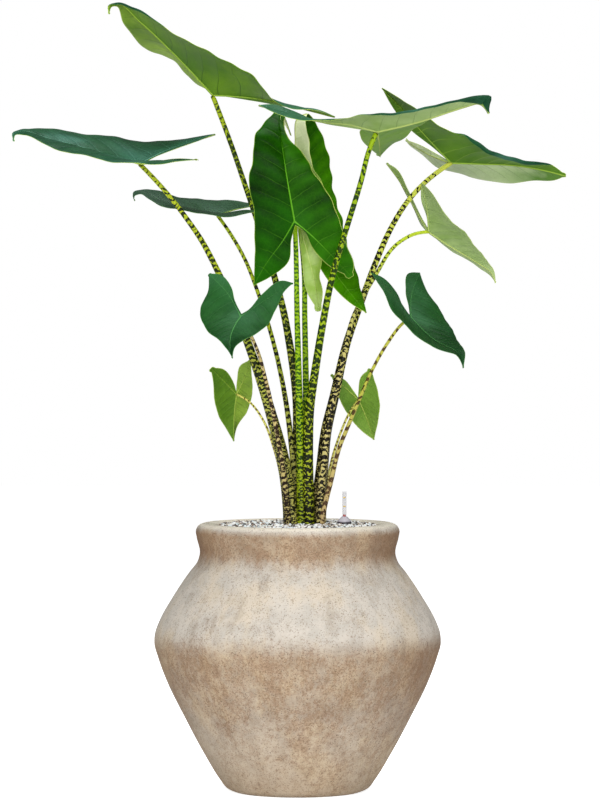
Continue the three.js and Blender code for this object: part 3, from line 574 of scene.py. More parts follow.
def make_piece(name, points, faces, materials, replaced=(), body=PLANT_BODY, numbers=None,
               finish_of_face=None, smooth=True):
    """One object of the plant: points in millimetres, triangles, its finishes, the numbers that
    its points carry, the body it rides on and the solids it stands for."""
    mesh = bpy.data.meshes.new(name)
    mesh.from_pydata((points * MM).tolist(), [], faces.tolist())
    for label, values in (numbers or {}).items():
        kind, key = ("FLOAT", "value") if values.ndim == 1 else ("FLOAT_VECTOR", "vector")
        attribute = mesh.attributes.new(label, kind, "POINT")
        attribute.data.foreach_set(key, values.astype(np.float32).ravel())
    for material in materials:
        mesh.materials.append(material)
    if finish_of_face is not None:
        mesh.polygons.foreach_set("material_index", finish_of_face.astype(np.int32))
    mesh.polygons.foreach_set("use_smooth", np.full(len(faces), smooth))
    mesh.update()
    piece = bpy.data.objects.new(name, mesh)
    bpy.context.scene.collection.objects.link(piece)
    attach(piece, body)
    if replaced:
        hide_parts(*replaced)
    return piece


# Leaf blades

def rib_half_width(thick, on_rib, on_lobe):
    """Half the width of a main vein: thick at the stalk, thinning to a hair at its end. On a
    lobe it soon is thinner than on the rib."""
    rib = RIB_WIDTH * (1 - np.clip(on_rib, 0, 1)) ** RIB_TAPER
    lobe = LOBE_RIB_WIDTH * (1 - np.clip(on_lobe, 0, 1)) ** LOBE_RIB_TAPER
    join = smooth_step(0.0, LOBE_RIB_FROM, on_lobe)
    return thick * (rib * (1 - join) + lobe * join) + RIB_END


def columns_across(half_width, width):
    """The shares from vein to margin of a row's points: set steps over the vein, then even."""
    ratio = np.minimum(half_width / np.maximum(width, 1e-6), MOST_RIB_SHARE)[:, None]
    near = ratio * np.array(RIB_COLUMNS)[None, :]
    rest = np.linspace(0, 1, ACROSS_STEPS - len(RIB_COLUMNS) + 1)[None, 1:]
    far = near[:, -1:] + (1 - near[:, -1:]) * rest
    return np.concatenate([near, far], axis=1)


def close_rows(line, least):
    """Row places from 0 to 1 along a line at even steps, with more in the first step, by a
    pointed end."""
    count = max(least, round(line.length / ROW_PITCH))
    return np.concatenate([[0], CLOSE_ROWS, np.arange(1, count + 1)]) / count


def blunted(width, distance, radius):
    """Row widths that are at least those of a round end of that radius, by the distance from the
    end; behind it this fades out over twice the radius."""
    cap = np.sqrt(np.maximum(0, distance * (2 * radius - distance)))
    behind = radius * smooth_step(3 * radius, radius, distance)
    return np.maximum(width, np.where(distance < radius, cap, behind))


def ruled_grid(side, vein, direction, width, half_width, t, side_vein, on_rib):
    """A grid of straight rows from a vein to the margin, with two vectors for each point:
    leaf_place holds the side vein's number, the share across, signed by half, and the share
    along the rib; leaf_reach holds the distance from the main vein in its half widths and the
    distances from the margin and from the vein."""
    across = t * width[:, None]
    points = vein[:, None] + direction[:, None] * across[..., None]
    along = np.broadcast_to(on_rib[:, None], t.shape)
    place = np.stack([side_vein, t * SIDE_SIGNS[side], along], -1)
    reach = np.stack([across / half_width[:, None], (1 - t) * width[:, None], across], -1)
    return points, place, reach


def outer_grid(name, side, rib, lobe, outer, thick):
    """The part of a blade's half from its rib and lobe vein out to the outer margin. A row runs
    between the same shares of their lengths, and a little longer and shorter by turns. The
    rows are lifted by an arch, 4t(1-t) across times a half sine along, by waves that grow with
    t squared and finer ones that grow with its fourth power, and by a low quilting that is
    nothing along every side vein and most midway between two."""
    stalk_end, tip = rib.points[[0, -1]]
    at_junction = lobe.length / (lobe.length + rib.length)
    middle = outer.at(at_junction + 0.25 * (1 - at_junction))
    up = unit(np.cross(tip - stalk_end, middle - stalk_end)) * SIDE_SIGNS[side]
    share = np.concatenate([
        at_junction * close_rows(lobe, LEAST_LOBE_ROWS)[:-1],
        at_junction + (1 - at_junction) * (1 - close_rows(rib, LEAST_RIB_ROWS)[::-1]),
    ])
    on_rib = np.maximum(0, (share - at_junction) / (1 - at_junction))
    on_lobe = np.maximum(0, 1 - share / at_junction)
    vein = np.where((share < at_junction)[:, None], lobe.at(on_lobe), rib.at(on_rib))
    margin = outer.at(share)
    if (name, side) in FLARED:
        push, place, spread = FLARED[name, side]
        margin = margin + np.exp(-((on_rib - place) / spread) ** 2)[:, None] * push
    bulge = np.sin(math.pi * share)
    ruffles = TURN * RUFFLES_ROUND_MARGIN * share + side * RUFFLE_SHIFT
    slow_ruffles = SLOW_RUFFLE_STRENGTH * np.sin(SLOW_RUFFLE_PACE * ruffles + SLOW_RUFFLE_SHIFT)
    up_down, in_out = RUFFLED.get(name, RUFFLE)
    width = np.linalg.norm(margin - vein, axis=1)
    in_out = in_out * rib.length * bulge * (np.sin(ruffles) + slow_ruffles)
    width = width + in_out * smooth_step(0, RUFFLED_WIDTH, width)
    width = blunted(width, (1 - on_lobe) * lobe.length, LOBE_RADII.get((name, side), END_RADIUS))
    width = blunted(width, (1 - on_rib) * rib.length, TIP_RADII.get(name, END_RADIUS))
    half_width = rib_half_width(thick, on_rib, on_lobe)
    t = columns_across(half_width, width)

    veins, sweep = OWN_SIDE_VEINS.get(name, SIDE_VEINS)
    spacing = rib.length / veins
    run = np.where(share < at_junction, -on_lobe * lobe.length, on_rib * rib.length)
    forward = sweep * (1 - on_lobe)[:, None] * width[:, None] * t**SIDE_VEIN_BEND
    side_vein = (run[:, None] - forward) / spacing
    points, place, reach = ruled_grid(
        side, vein, unit(margin - vein), width, half_width, t, side_vein, on_rib)

    bulge = bulge[:, None]
    turns = TURN * WAVES_ROUND_MARGIN * share[:, None] + side * WAVE_SHIFT
    between = 0.5 - 0.5 * np.cos(TURN * (side_vein + VEIN_OFFSET * SIDE_SIGNS[side]))
    lift = (
        BLADE_ARCH * 4 * t * (1 - t) * bulge
        + BLADE_WAVE * t * t * np.sin(turns) * np.sqrt(np.maximum(bulge, 0))
        + up_down * t**4 * np.sin(ruffles)[:, None] * bulge
    ) * rib.length
    lift = lift + QUILTING * spacing * between * smooth_step(0, QUILTING_FROM, t) * (1 - t**3) * bulge
    sag = np.maximum(0, (on_rib - DROOP_FROM) / (1 - DROOP_FROM)) ** 2
    droop = np.array(LEAVES[name].get("droop", (0, 0, 0)), float)
    grid = points + lift[..., None] * up + sag[:, None, None] * droop, place, reach
    if (name, side) in ROLLED:
        return rolled_under(grid, share, up, *ROLLED[name, side])
    return grid


def inner_grid(name, side, rib, lobe, inner, thick):
    """The part of a blade's half from its lobe vein in to the notch, flat, with rows between the
    same shares of their lengths."""
    share = 1 - close_rows(lobe, LEAST_LOBE_ROWS)[::-1]
    vein = lobe.at(share)
    margin = inner.at(share)
    width = np.linalg.norm(margin - vein, axis=1)
    width = blunted(width, (1 - share) * lobe.length, LOBE_RADII.get((name, side), END_RADIUS))
    half_width = rib_half_width(thick, share * 0, share)
    t = columns_across(half_width, width)
    spacing = rib.length / OWN_SIDE_VEINS.get(name, SIDE_VEINS)[0]
    side_vein = -share[:, None] * lobe.length / spacing + 0 * t
    return ruled_grid(
        side, vein, unit(margin - vein), width, half_width, t, side_vein, share * 0)


def rolled_under(grid, share, up, start, stop, middle, end, end_from):
    """Draws each row in a little and adds columns past its margin: nearly a half circle that
    turns under, then a straight hem back below the blade. Distances from the margin now count
    from the hem's edge."""
    points, place, reach = grid
    width = reach[:, 0, 1]
    inside = smooth_step(start, start + ROLL_STARTS_OVER, share)
    inside = inside * smooth_step(stop, stop - ROLL_STOPS_OVER, share)
    hem = middle + (end - middle) * smooth_step(end_from - ROLL_CHANGES_OVER, end_from, share)
    hem = np.minimum(inside * hem, MOST_ROLLED * width)
    radius = np.minimum(ROLL_SHARE * hem, ROLL_RADIUS)[:, None]
    row = points - points[:, :1]
    points = points[:, :1] + row * (1 - radius / np.maximum(width, 1)[:, None])[..., None]
    outward = unit(row[:, -1])
    over = unit(np.cross(np.gradient(points[:, -1], axis=0), outward))
    over = over * np.sign((over @ up).sum())
    turn = np.concatenate([np.linspace(0, ROLL_TURN, ROLL_STEPS)[1:], [ROLL_TURN, ROLL_TURN]])
    flap = (hem[:, None] - radius) * np.concatenate([np.zeros(ROLL_STEPS - 1), [0.5, 1.0]])
    ahead = radius * np.sin(turn) + flap * math.cos(ROLL_TURN)
    below = radius * (1 - np.cos(turn)) + flap * math.sin(ROLL_TURN)
    length = radius * turn + flap
    curl = ahead[..., None] * outward[:, None] - below[..., None] * over[:, None]
    reach = reach.copy()
    reach[..., 1] += length[:, -1:] - radius
    far_place, far = (np.repeat(part[:, -1:], length.shape[1], axis=1) for part in (place, reach))
    far[..., 1] = length[:, -1:] - length
    added = (points[:, -1:] + curl, far_place, far)
    return tuple(np.concatenate(pair, axis=1) for pair in zip((points, place, reach), added))


def blade_arrays(name, thick):
    """A blade's middle surface as one mesh of triangles, with the half each belongs to. Every
    half is two grids, which run between its veins and its margins."""
    leaf = LEAVES[name]
    rib = SmoothCurve(leaf["rib"])
    stalk_end, tip = rib.points[[0, -1]]
    notch_way = sum(unit(np.array(vein[0], float) - stalk_end) for vein in leaf["lobe"])
    notch = stalk_end + unit(notch_way) * NOTCH_DEPTH * thick
    grids, faces, halves = [], [], []
    count = 0
    for side in (0, 1):
        lobe_tip = leaf["lobe"][side][-1]
        lobe = SmoothCurve([stalk_end, *leaf["lobe"][side]])
        outer = SmoothCurve([lobe_tip, *leaf["outer"][side], tip])
        inner = SmoothCurve([notch, *leaf["inner"][side], lobe_tip])
        for grid in (outer_grid(name, side, rib, lobe, outer, thick),
                     inner_grid(name, side, rib, lobe, inner, thick)):
            rows, columns = grid[0].shape[:2]
            grids.append([numbers.reshape(-1, 3) for numbers in grid])
            faces.append(grid_triangles(rows, columns, flipped=side == 1) + count)
            halves.append(np.full(len(faces[-1]), side))
            count += rows * columns
    points, *extras = (np.concatenate(parts) for parts in zip(*grids))
    points, faces, (place, reach), whole = welded(points, np.concatenate(faces), extras)
    return points, faces, place, reach, np.concatenate(halves)[whole]


def corner_normals(points, faces):
    """The area-weighted normal of every point."""
    a, b, c = (points[faces[:, corner]] for corner in range(3))
    normal = np.cross(b - a, c - a)
    total = np.zeros_like(points)
    for corner in range(3):
        np.add.at(total, faces[:, corner], normal)
    return unit(total)


def open_edges(faces, count):
    """The directed edges that only one triangle has."""
    edges = np.concatenate([faces[:, [0, 1]], faces[:, [1, 2]], faces[:, [2, 0]]])
    ahead = edges[:, 0] * count + edges[:, 1]
    behind = edges[:, 1] * count + edges[:, 0]
    return edges[~np.isin(ahead, behind)]


def make_blade(name, finishes):
    """A leaf blade: its middle surface pushed up by half its thickness, and down by that and by
    a half-round ridge under each main vein, closed by a rounded rim round the margin."""
    thick = LEAVES[name]["radii"][1]
    points, faces, place, reach, halves = blade_arrays(name, thick)
    count = len(points)
    normals = corner_normals(points, faces)
    over = np.clip(1 - reach[:, 0] ** 2, 0, 1)
    own_width = np.where(reach[:, 0] > 0, reach[:, 2] / np.maximum(reach[:, 0], 1e-9), thick)
    own_width = np.minimum(own_width, RIB_WIDTH * thick + RIB_END)
    thin = HALF_THICKNESS * (1 - MARGIN_THINNING * smooth_step(THINNING_WIDTH, 0, reach[:, 1]))
    groove = RIB_GROOVE * own_width * over
    ridge = RIB_RIDGE * own_width * np.sqrt(over) * smooth_step(*RIDGE_WIDTHS, own_width)
    top = points + normals * np.maximum(thin - groove, LEAST_THICKNESS)[:, None]
    bottom = points - normals * (thin + ridge)[:, None]

    edges = open_edges(faces, count)
    start, end = edges.T
    along = points[end] - points[start]
    outward = np.zeros_like(points)
    for corner in (start, end):
        np.add.at(outward, corner, np.cross(along, normals[corner]))
    margin = np.unique(edges)
    rim_number = np.zeros(count, int)
    rim_number[margin] = 2 * count + np.arange(len(margin))
    rim = points[margin] + unit(outward[margin]) * MARGIN_BULGE
    rim_start, rim_end = rim_number[start], rim_number[end]
    wall = np.concatenate([np.stack(corners, 1) for corners in (
        (start, rim_start, rim_end), (start, rim_end, end),
        (rim_start, start + count, end + count), (rim_start, end + count, rim_end),
    )])
    numbers = {
        "leaf_place": np.concatenate([place, place, place[margin]]),
        "leaf_reach": np.concatenate([reach, reach, reach[margin]]),
    }
    make_piece(
        f"leaf_{name}",
        np.concatenate([top, bottom, rim]),
        np.concatenate([faces, faces[:, ::-1] + count, wall]),
        finishes,
        [f"blade_{name}"],
        numbers=numbers,
        finish_of_face=np.concatenate([halves, halves + 2, np.full(len(wall), 4)]),
    )


# Leaf stalks

def stalk_line(name, share):
    """A stalk's centre line and its radius, thick at the foot and thin at the blade."""
    leaf = LEAVES[name]
    x, y, _ = leaf["path"][0]
    path = SmoothCurve([(x, y, FOOT_HEIGHT), *leaf["path"]])
    thick, thin = leaf["radii"]
    return path, path.at(share), thin + (thick - thin) * (1 - share) ** STALK_FLARE


def kept_clear(points, stalks):
    """Points that lie inside an earlier stalk are pushed straight out to its skin."""
    for stalk in stalks:
        _, centres, radii = stalk_line(stalk, np.linspace(0, 1, CLEARANCE_STEPS))
        apart = points[:, None] - centres[None]
        nearest = np.argmin(np.linalg.norm(apart, axis=2) - radii[None], axis=1)
        away = points - centres[nearest]
        distance = np.linalg.norm(away, axis=1)
        wanted = np.maximum(distance, radii[nearest] + STALK_CLEARANCE)
        points = centres[nearest] + unit(away) * wanted[:, None]
    return points


def below_blade(points, leaf):
    """Points near the blade's junction are pressed down into the lower half of its thickness."""
    junction, further = np.array(leaf["rib"][:2], float)
    left, right = (np.array(vein[0], float) - junction for vein in leaf["lobe"])
    normal = unit(np.cross(unit(further - junction), unit(left) - unit(right)))
    height = (points - junction) @ normal
    near = np.linalg.norm(points - junction, axis=1) < JUNCTION_REACH
    press = np.where(near, np.maximum(0, height + HALF_THICKNESS * 0.5), 0)
    return points - press[:, None] * normal


def make_stalk(name, earlier, finish):
    """A leaf stalk: a circle carried along a smooth path and tapered, closed at both ends. Its
    finish reads where a point is on the unrolled skin and how far up the stalk it is."""
    path, _, _ = stalk_line(name, np.zeros(1))
    rings = round(path.length / STALK_RING_PITCH)
    share = np.linspace(0, 1, rings + 1)
    _, centres, radii = stalk_line(name, share)
    ahead = path.ahead(share)
    ahead[0] = (0, 0, 1)
    across = unit(np.cross((0, 1, 0), ahead))
    behind = np.cross(ahead, across)
    angle = TURN * np.arange(STALK_SIDES) / STALK_SIDES
    around = across[:, None] * np.cos(angle)[None, :, None]
    around = around + behind[:, None] * np.sin(angle)[None, :, None]
    skin = centres[:, None] + around * radii[:, None, None]
    skin = below_blade(kept_clear(skin.reshape(-1, 3), earlier), LEAVES[name])
    ends = skin[:STALK_SIDES].mean(0), skin[-STALK_SIDES:].mean(0)
    faces = grid_triangles(rings + 1, STALK_SIDES, wrapped=True, flipped=True)
    ring = np.arange(STALK_SIDES)
    following = (ring + 1) % STALK_SIDES
    foot = np.stack([np.full(STALK_SIDES, len(skin)), following, ring], 1)
    last = rings * STALK_SIDES
    head = np.stack([np.full(STALK_SIDES, len(skin) + 1), last + ring, last + following], 1)
    unrolled = np.stack([
        np.cos(angle)[None] * radii[:, None],
        np.sin(angle)[None] * radii[:, None],
        np.broadcast_to(share[:, None] * path.length, (rings + 1, STALK_SIDES)),
    ], -1).reshape(-1, 3)
    numbers = {
        "stalk_place": np.concatenate([unrolled, [(0, 0, 0), (0, 0, path.length)]]),
        "stalk_share": np.concatenate([np.repeat(share, STALK_SIDES), [0, 1]]),
    }
    make_piece(f"stalk_{name}", np.concatenate([skin, ends]), np.concatenate([faces, foot, head]),
               [finish], [f"petiole_{name}"], numbers=numbers)


# Turned pieces

def turned(profile, sides, centre=(0.0, 0.0)):
    """A profile of (radius, height) pairs carried round a vertical axis."""
    profile = np.asarray(profile, float)
    angle = TURN * np.arange(sides) / sides
    x = profile[:, :1] * np.cos(angle)[None] + centre[0]
    y = profile[:, :1] * np.sin(angle)[None] + centre[1]
    z = np.broadcast_to(profile[:, 1:], x.shape)
    points = np.stack([x, y, z], -1).reshape(-1, 3)
    faces = grid_triangles(len(profile), sides, wrapped=True, flipped=True)
    points, faces, _, _ = welded(points, faces)
    return points, faces


def make_turned(name, profile, finish, replaced, body=PLANT_BODY):
    """A small turned piece of the gauge."""
    points, faces = turned(profile, GAUGE_SIDES, (GAUGE_X, 0.0))
    make_piece(name, points, faces, [finish], [replaced], body)


def make_planter(finish):
    """The planter's wall: smooth curves through the outside and inside profiles, a flat base
    and floor, and an unevenness of slow sines round and up the outside."""
    steps = np.linspace(0, 1, PLANTER_STEPS)
    outside = smooth_profile(PLANTER_OUTSIDE, steps)
    inside = smooth_profile(PLANTER_INSIDE, steps[::2])
    outside[:, 1] = np.clip(outside[:, 1], 0, LIP_TOP)
    outside[:, 0] = np.minimum(outside[:, 0], max(radius for radius, _ in PLANTER_OUTSIDE))
    base = [[0, 0], [BASE_FLAT, 0]]
    points, faces = turned(
        np.concatenate([base, outside, inside, [[0, INNER_FLOOR]]]), PLANTER_SIDES)
    x, y, height = points.T
    radius = np.hypot(x, y)
    angle = np.arctan2(y, x)
    sway = sum(
        strength * np.sin(turns * angle + height / rise + shift)
        for strength, turns, rise, shift in WALL_SWAYS
    )
    open_air = smooth_step(0, EVEN_FOOT, height) * smooth_step(LIP_TOP, LIP_TOP - EVEN_LIP, height)
    grow = 1 - WALL_UNEVENNESS * 0.5 * (1 + sway / 2) * open_air / np.maximum(radius, 1)
    points[:, :2] = points[:, :2] * grow[:, None]
    make_piece("planter_shell", points, faces, [finish], ["planter"])


# Grit

def grain_shape():
    """A grain's twenty faces: the points (0, a, b) and their turns, where b is a golden a."""
    golden = (1 + 5**0.5) / 2
    corners = []
    for a in (-1, 1):
        for b in (-golden, golden):
            corners.extend([(0, a, b), (a, b, 0), (b, 0, a)])
    corners = np.array(corners, float)
    faces = []
    for trio in itertools.combinations(range(GRAIN_CORNERS), 3):
        a, b, c = corners[list(trio)]
        if np.allclose([np.linalg.norm(a - b), np.linalg.norm(b - c), np.linalg.norm(c - a)], 2):
            outward = np.cross(b - a, c - a) @ (a + b + c) > 0
            faces.append(trio if outward else (trio[0], trio[2], trio[1]))
    return corners / np.linalg.norm(corners[0]), np.array(faces)


def random_turns(draw, count):
    """Even random rotations, from four normal numbers each."""
    w, x, y, z = unit(draw.normal(size=(count, 4))).T
    return np.stack([
        np.stack([1 - 2 * (y * y + z * z), 2 * (x * y - z * w), 2 * (x * z + y * w)], -1),
        np.stack([2 * (x * y + z * w), 1 - 2 * (x * x + z * z), 2 * (y * z - x * w)], -1),
        np.stack([2 * (x * z - y * w), 2 * (y * z + x * w), 1 - 2 * (x * x + y * y)], -1),
    ], 1)


def grain_places(draw):
    """A shaken triangular grid over the dressing, less what stalks and gauge take up."""
    reach = math.ceil(GRIT_RADIUS / GRAIN_PITCH) + 1
    column, row = np.meshgrid(np.arange(-reach, reach + 1), np.arange(-reach, reach + 1))
    x = (column + 0.5 * (row % 2)).ravel() * GRAIN_PITCH
    y = row.ravel() * GRAIN_ROW_STRETCH * TRIANGLE_HEIGHT * GRAIN_PITCH
    places = []
    for layer in range(GRAIN_LAYERS):
        shake = draw.uniform(-GRAIN_SHAKE, GRAIN_SHAKE, (len(x), 2))
        shaken = np.stack([x, y], 1) + shake * GRAIN_PITCH + layer * LAYER_SHIFT * GRAIN_PITCH
        places.append(np.column_stack([shaken, np.full(len(x), -LAYER_DEPTH * layer)]))
    places = np.concatenate(places)
    free = np.hypot(places[:, 0], places[:, 1]) < GRIT_RADIUS - GRAIN_FROM_WALL
    free &= np.hypot(places[:, 0] - GAUGE_X, places[:, 1]) > GRAIN_FROM_GAUGE
    for name in LEAVES:
        _, centres, radii = stalk_line(name, np.linspace(0, LOW_STALK, LOW_STALK_STEPS))
        level = np.argmin(abs(centres[:, 2] - GRIT_TOP))
        distance = np.hypot(*(places[:, :2] - centres[level, :2]).T)
        free &= distance > radii[level] + GRAIN_FROM_STALK
    return places[free]


def make_grit(finish):
    """The loose grit: grains of twenty faces, stretched, turned and sized at random, lying on
    the dressing's gently uneven top. Each grain carries one random number for its colour."""
    draw = np.random.default_rng(GRAIN_SEED)
    x, y, depth = grain_places(draw).T
    count = len(x)
    corners, faces = grain_shape()
    relief = np.sin(RELIEF_X * x) * np.cos(RELIEF_Y * y)
    relief = relief + CROSS_RELIEF * np.sin(CROSS_RELIEF_X * x - CROSS_RELIEF_Y * y)
    mound = GRIT_MOUND * (1 - np.hypot(x, y) / GRIT_RADIUS)
    height = GRIT_TOP + mound + GRIT_RELIEF * relief + depth
    size = draw.uniform(*GRAIN_SIZES, count)[:, None] * draw.uniform(*GRAIN_STRETCH, (count, 3))
    rough = corners[None] * draw.uniform(*GRAIN_ROUGHNESS, (count, GRAIN_CORNERS, 1))
    grains = np.einsum("nij,nkj->nki", random_turns(draw, count), rough * size[:, None])
    centre = np.stack([x, y, height + draw.uniform(*GRAIN_LIFT, count)], 1)
    points = (grains + centre[:, None]).reshape(-1, 3)
    numbered = faces[None] + (GRAIN_CORNERS * np.arange(count))[:, None, None]
    tone = np.repeat(draw.uniform(0, 1, count), GRAIN_CORNERS)
    make_piece("grit_grains", points, numbered.reshape(-1, 3), [finish],
               numbers={"grain_tone": tone}, smooth=False)


# Node helpers

def paint(code):
    """The linear colour of a six-digit screen colour."""
    channels = [int(code[i:i + 2], 16) / 255 for i in (0, 2, 4)]
    linear = [c / 12.92 if c <= 0.04045 else ((c + 0.055) / 1.055) ** 2.4 for c in channels]
    return (*linear, 1.0)


def fill(node, values):
    """Links outputs to the node's inputs, sets plain numbers and paints colour codes."""
    for key, value in values.items():
        if isinstance(value, Output):
            value.tree.links.new(value.socket, node.inputs[key])
        else:
            node.inputs[key].default_value = paint(value) if isinstance(value, str) else value


def put(tree, kind, values=None, **settings):
    """A new node with its settings and its inputs."""
    node = tree.nodes.new("ShaderNode" + kind)
    for key, value in settings.items():
        setattr(node, key, value)
    fill(node, values or {})
    return node


class Output:
    """One output of a node. Its methods, and sums and products with it, add a node to the tree
    that reads it, and give that node's output."""

    def __init__(self, node, output=0):
        self.tree = node.id_data
        self.socket = node.outputs[output]

    def into(self, kind, values, output=0, **settings):
        return Output(put(self.tree, kind, values, **settings), output)

    def calc(self, operation, other=0.0, clamp=False):
        return self.into("Math", {0: self, 1: other}, operation=operation, use_clamp=clamp)

    def __mul__(self, other):
        return self.calc("MULTIPLY", other)

    def __truediv__(self, other):
        return self.calc("DIVIDE", other)

    def __add__(self, other):
        return self.calc("ADD", other)

    def __sub__(self, other):
        return self.calc("SUBTRACT", other)

    def __rsub__(self, other):
        return self.into("Math", {0: other, 1: self}, operation="SUBTRACT")

    def swing(self, size):
        """A noise value turned into a swing about zero."""
        return (self - 0.5) * size

    def fade(self, low, high, start=0.0, end=1.0):
        """A smooth step from start to end while the value goes from low to high."""
        values = {0: self, 1: low, 2: high, 3: start, 4: end}
        return self.into("MapRange", values, interpolation_type="SMOOTHSTEP")

    def slope(self, start, end):
        """A straight change from start to end while the value goes from 0 to 1."""
        return self.into("MapRange", {0: self, 1: 0.0, 2: 1.0, 3: start, 4: end})

    def between(self, low, high):
        """The colour that runs from low to high with this share."""
        return self.into("Mix", {0: self, 6: low, 7: high}, 2, data_type="RGBA")

    def tinted(self, share, colour, blend="MIX"):
        """This colour with a share of another over it."""
        values = {0: share, 6: self, 7: colour}
        return self.into("Mix", values, 2, data_type="RGBA", blend_type=blend)

    def noise(self, scale, detail=3.0, roughness=0.55, distortion=0.0):
        values = {"Vector": self, "Scale": scale, "Detail": detail, "Roughness": roughness,
                  "Distortion": distortion}
        return self.into("TexNoise", values, "Fac")

    def cells(self, scale):
        """The distance to the nearest of scattered points, and three random numbers of its own."""
        node = put(self.tree, "TexVoronoi", {"Vector": self, "Scale": scale}, feature="F1")
        return Output(node, "Distance"), Output(node, "Color").split()

    def split(self):
        node = put(self.tree, "SeparateXYZ", {0: self})
        return [Output(node, axis) for axis in range(3)]

    def stretched(self, *scale):
        return self.into("Mapping", {"Vector": self, "Scale": scale})

    def bump(self, strength, distance):
        values = {"Strength": strength, "Distance": distance, "Height": self}
        return self.into("Bump", values)


def carried(tree, name, output="Vector"):
    """The numbers that a piece's points carry under that name."""
    node = put(tree, "Attribute", attribute_type="GEOMETRY", attribute_name=name)
    return Output(node, output)


def in_place(tree):
    return Output(put(tree, "TexCoord"), "Object")


def new_material(name, finish, *values):
    """A material whose shader has the inputs that its finish gives for these values."""
    material = bpy.data.materials.new(name)
    material.use_nodes = True
    tree = material.node_tree
    tree.nodes.clear()
    shader = put(tree, "BsdfPrincipled", finish(tree, *values))
    put(tree, "OutputMaterial", {0: Output(shader)})
    return material


def new_group(name, inputs, outputs):
    """A node group of plain numbers, with what comes in and the node that they leave by."""
    tree = bpy.data.node_groups.new(name, "ShaderNodeTree")
    for in_out, labels in (("INPUT", inputs), ("OUTPUT", outputs)):
        for label in labels:
            tree.interface.new_socket(label, in_out=in_out, socket_type="NodeSocketFloat")
    entry = tree.nodes.new("NodeGroupInput")
    leave = tree.nodes.new("NodeGroupOutput")
    return tree, {label: Output(entry, label) for label in inputs}, leave


def use_group(tree, group, values):
    node = tree.nodes.new("ShaderNodeGroup")
    node.node_tree = group
    fill(node, values)
    return {socket.name: Output(node, socket.name) for socket in node.outputs}


# Leaf finishes

def leaf_marks_group():
    """Where the veins, the fine net between them and the edge of a blade lie. A side vein is
    where its number, shifted by turns between the halves, is whole; it thins to the margin."""
    tree, entry, leave = new_group("leaf_marks", ("Vein Width", "Edge Width"), LEAF_MARKS)
    number, signed, along = carried(tree, "leaf_place").split()
    from_rib, from_margin, _ = carried(tree, "leaf_reach").split()
    where = in_place(tree)
    across = signed.calc("ABSOLUTE")
    sway = where.noise(40.0, 2.0).swing(0.22)
    apart = (number + signed.calc("SIGN") * VEIN_OFFSET + sway).calc("PINGPONG", 0.5)
    near = entry["Vein Width"] * across.fade(0.0, 0.95, 1.0, 0.3)
    inner = across.fade(0.72, 0.97, 1.0, 0.0)
    vein = apart.fade(near, near * 2.2, 1.0, 0.0) * inner * along.fade(0.55, 1.0, 1.0, 0.3)
    edge = entry["Edge Width"]
    net = where.into("TexVoronoi", {"Vector": where, "Scale": 170.0}, feature="DISTANCE_TO_EDGE")
    round_stalk = number.calc("ABSOLUTE").fade(0.0, 1.6, 1.0, 0.0)
    # Two of these are masks for painted light on upper faces: the share midway between side veins, and
    # the patch round the stalk's end.
    fill(leave, {
        "Rib": from_rib.fade(0.75, 1.1, 1.0, 0.0),
        "Side Veins": vein,
        "Bulge Light": apart * 2.0,
        "Net": net.fade(0.0, 0.10, 1.0, 0.0) * from_margin.fade(3.0, 12.0),
        "Edge": from_margin.fade(edge * 0.4, edge, 1.0, 0.0),
        "Blotch": where.noise(15.0, 4.0, 0.6),
        "Tip": along.fade(0.25, 1.0),
        "Lobe": number.fade(-3.0, 0.0, 1.0, 0.0),
        "Relief": inner * apart.fade(0.0, 0.13, 1.0, 0.0),
        "Stalk Sheen": round_stalk * across.fade(0.1, 0.8, 1.0, 0.0),
    })
    return tree


def leaf_upper(tree, marks, dark, light, vein, edge, sheen, darker):
    """A glossy upper face: green that drifts in slow blotches and is lighter midway between the
    side veins, a painted light on the bulges there, with fine pale veins and margin, and a painted
    bluish sheen in places and by the stalk."""
    made = use_group(tree, marks, {"Vein Width": 0.011, "Edge Width": EDGE_WIDTH})
    # Painted light: lighter midway between the side veins, where the blade bulges.
    drift = made["Blotch"].fade(0.3, 0.75, 0.1, 0.62) + (made["Bulge Light"] * 0.24 + made["Lobe"] * 0.38)
    green = drift.calc("SUBTRACT", made["Tip"] * darker + 0.1, clamp=True)
    # Painted sheen: a bluish colour in patches and round the stalk's end.
    painted_sheen = in_place(tree).noise(9.0).fade(0.5, 0.72, 0.0, 0.4)
    painted_sheen = painted_sheen.calc("ADD", made["Stalk Sheen"] * 0.35, clamp=True)
    colour = green.between(dark, light).tinted(painted_sheen, sheen)
    colour = colour.tinted(made["Net"] * 0.04, vein).tinted(made["Side Veins"] * 0.26, vein)
    colour = colour.tinted(made["Rib"] * (0.85 - made["Lobe"] * 0.5), vein)
    return {
        "Base Color": colour.tinted(made["Edge"] * 0.7, edge),
        "Roughness": made["Blotch"].fade(0.3, 0.7, 0.32, 0.44),
        "Specular IOR Level": 0.04,
        "Normal": (made["Relief"] * -1.0).bump(0.35, 0.0007),
    }


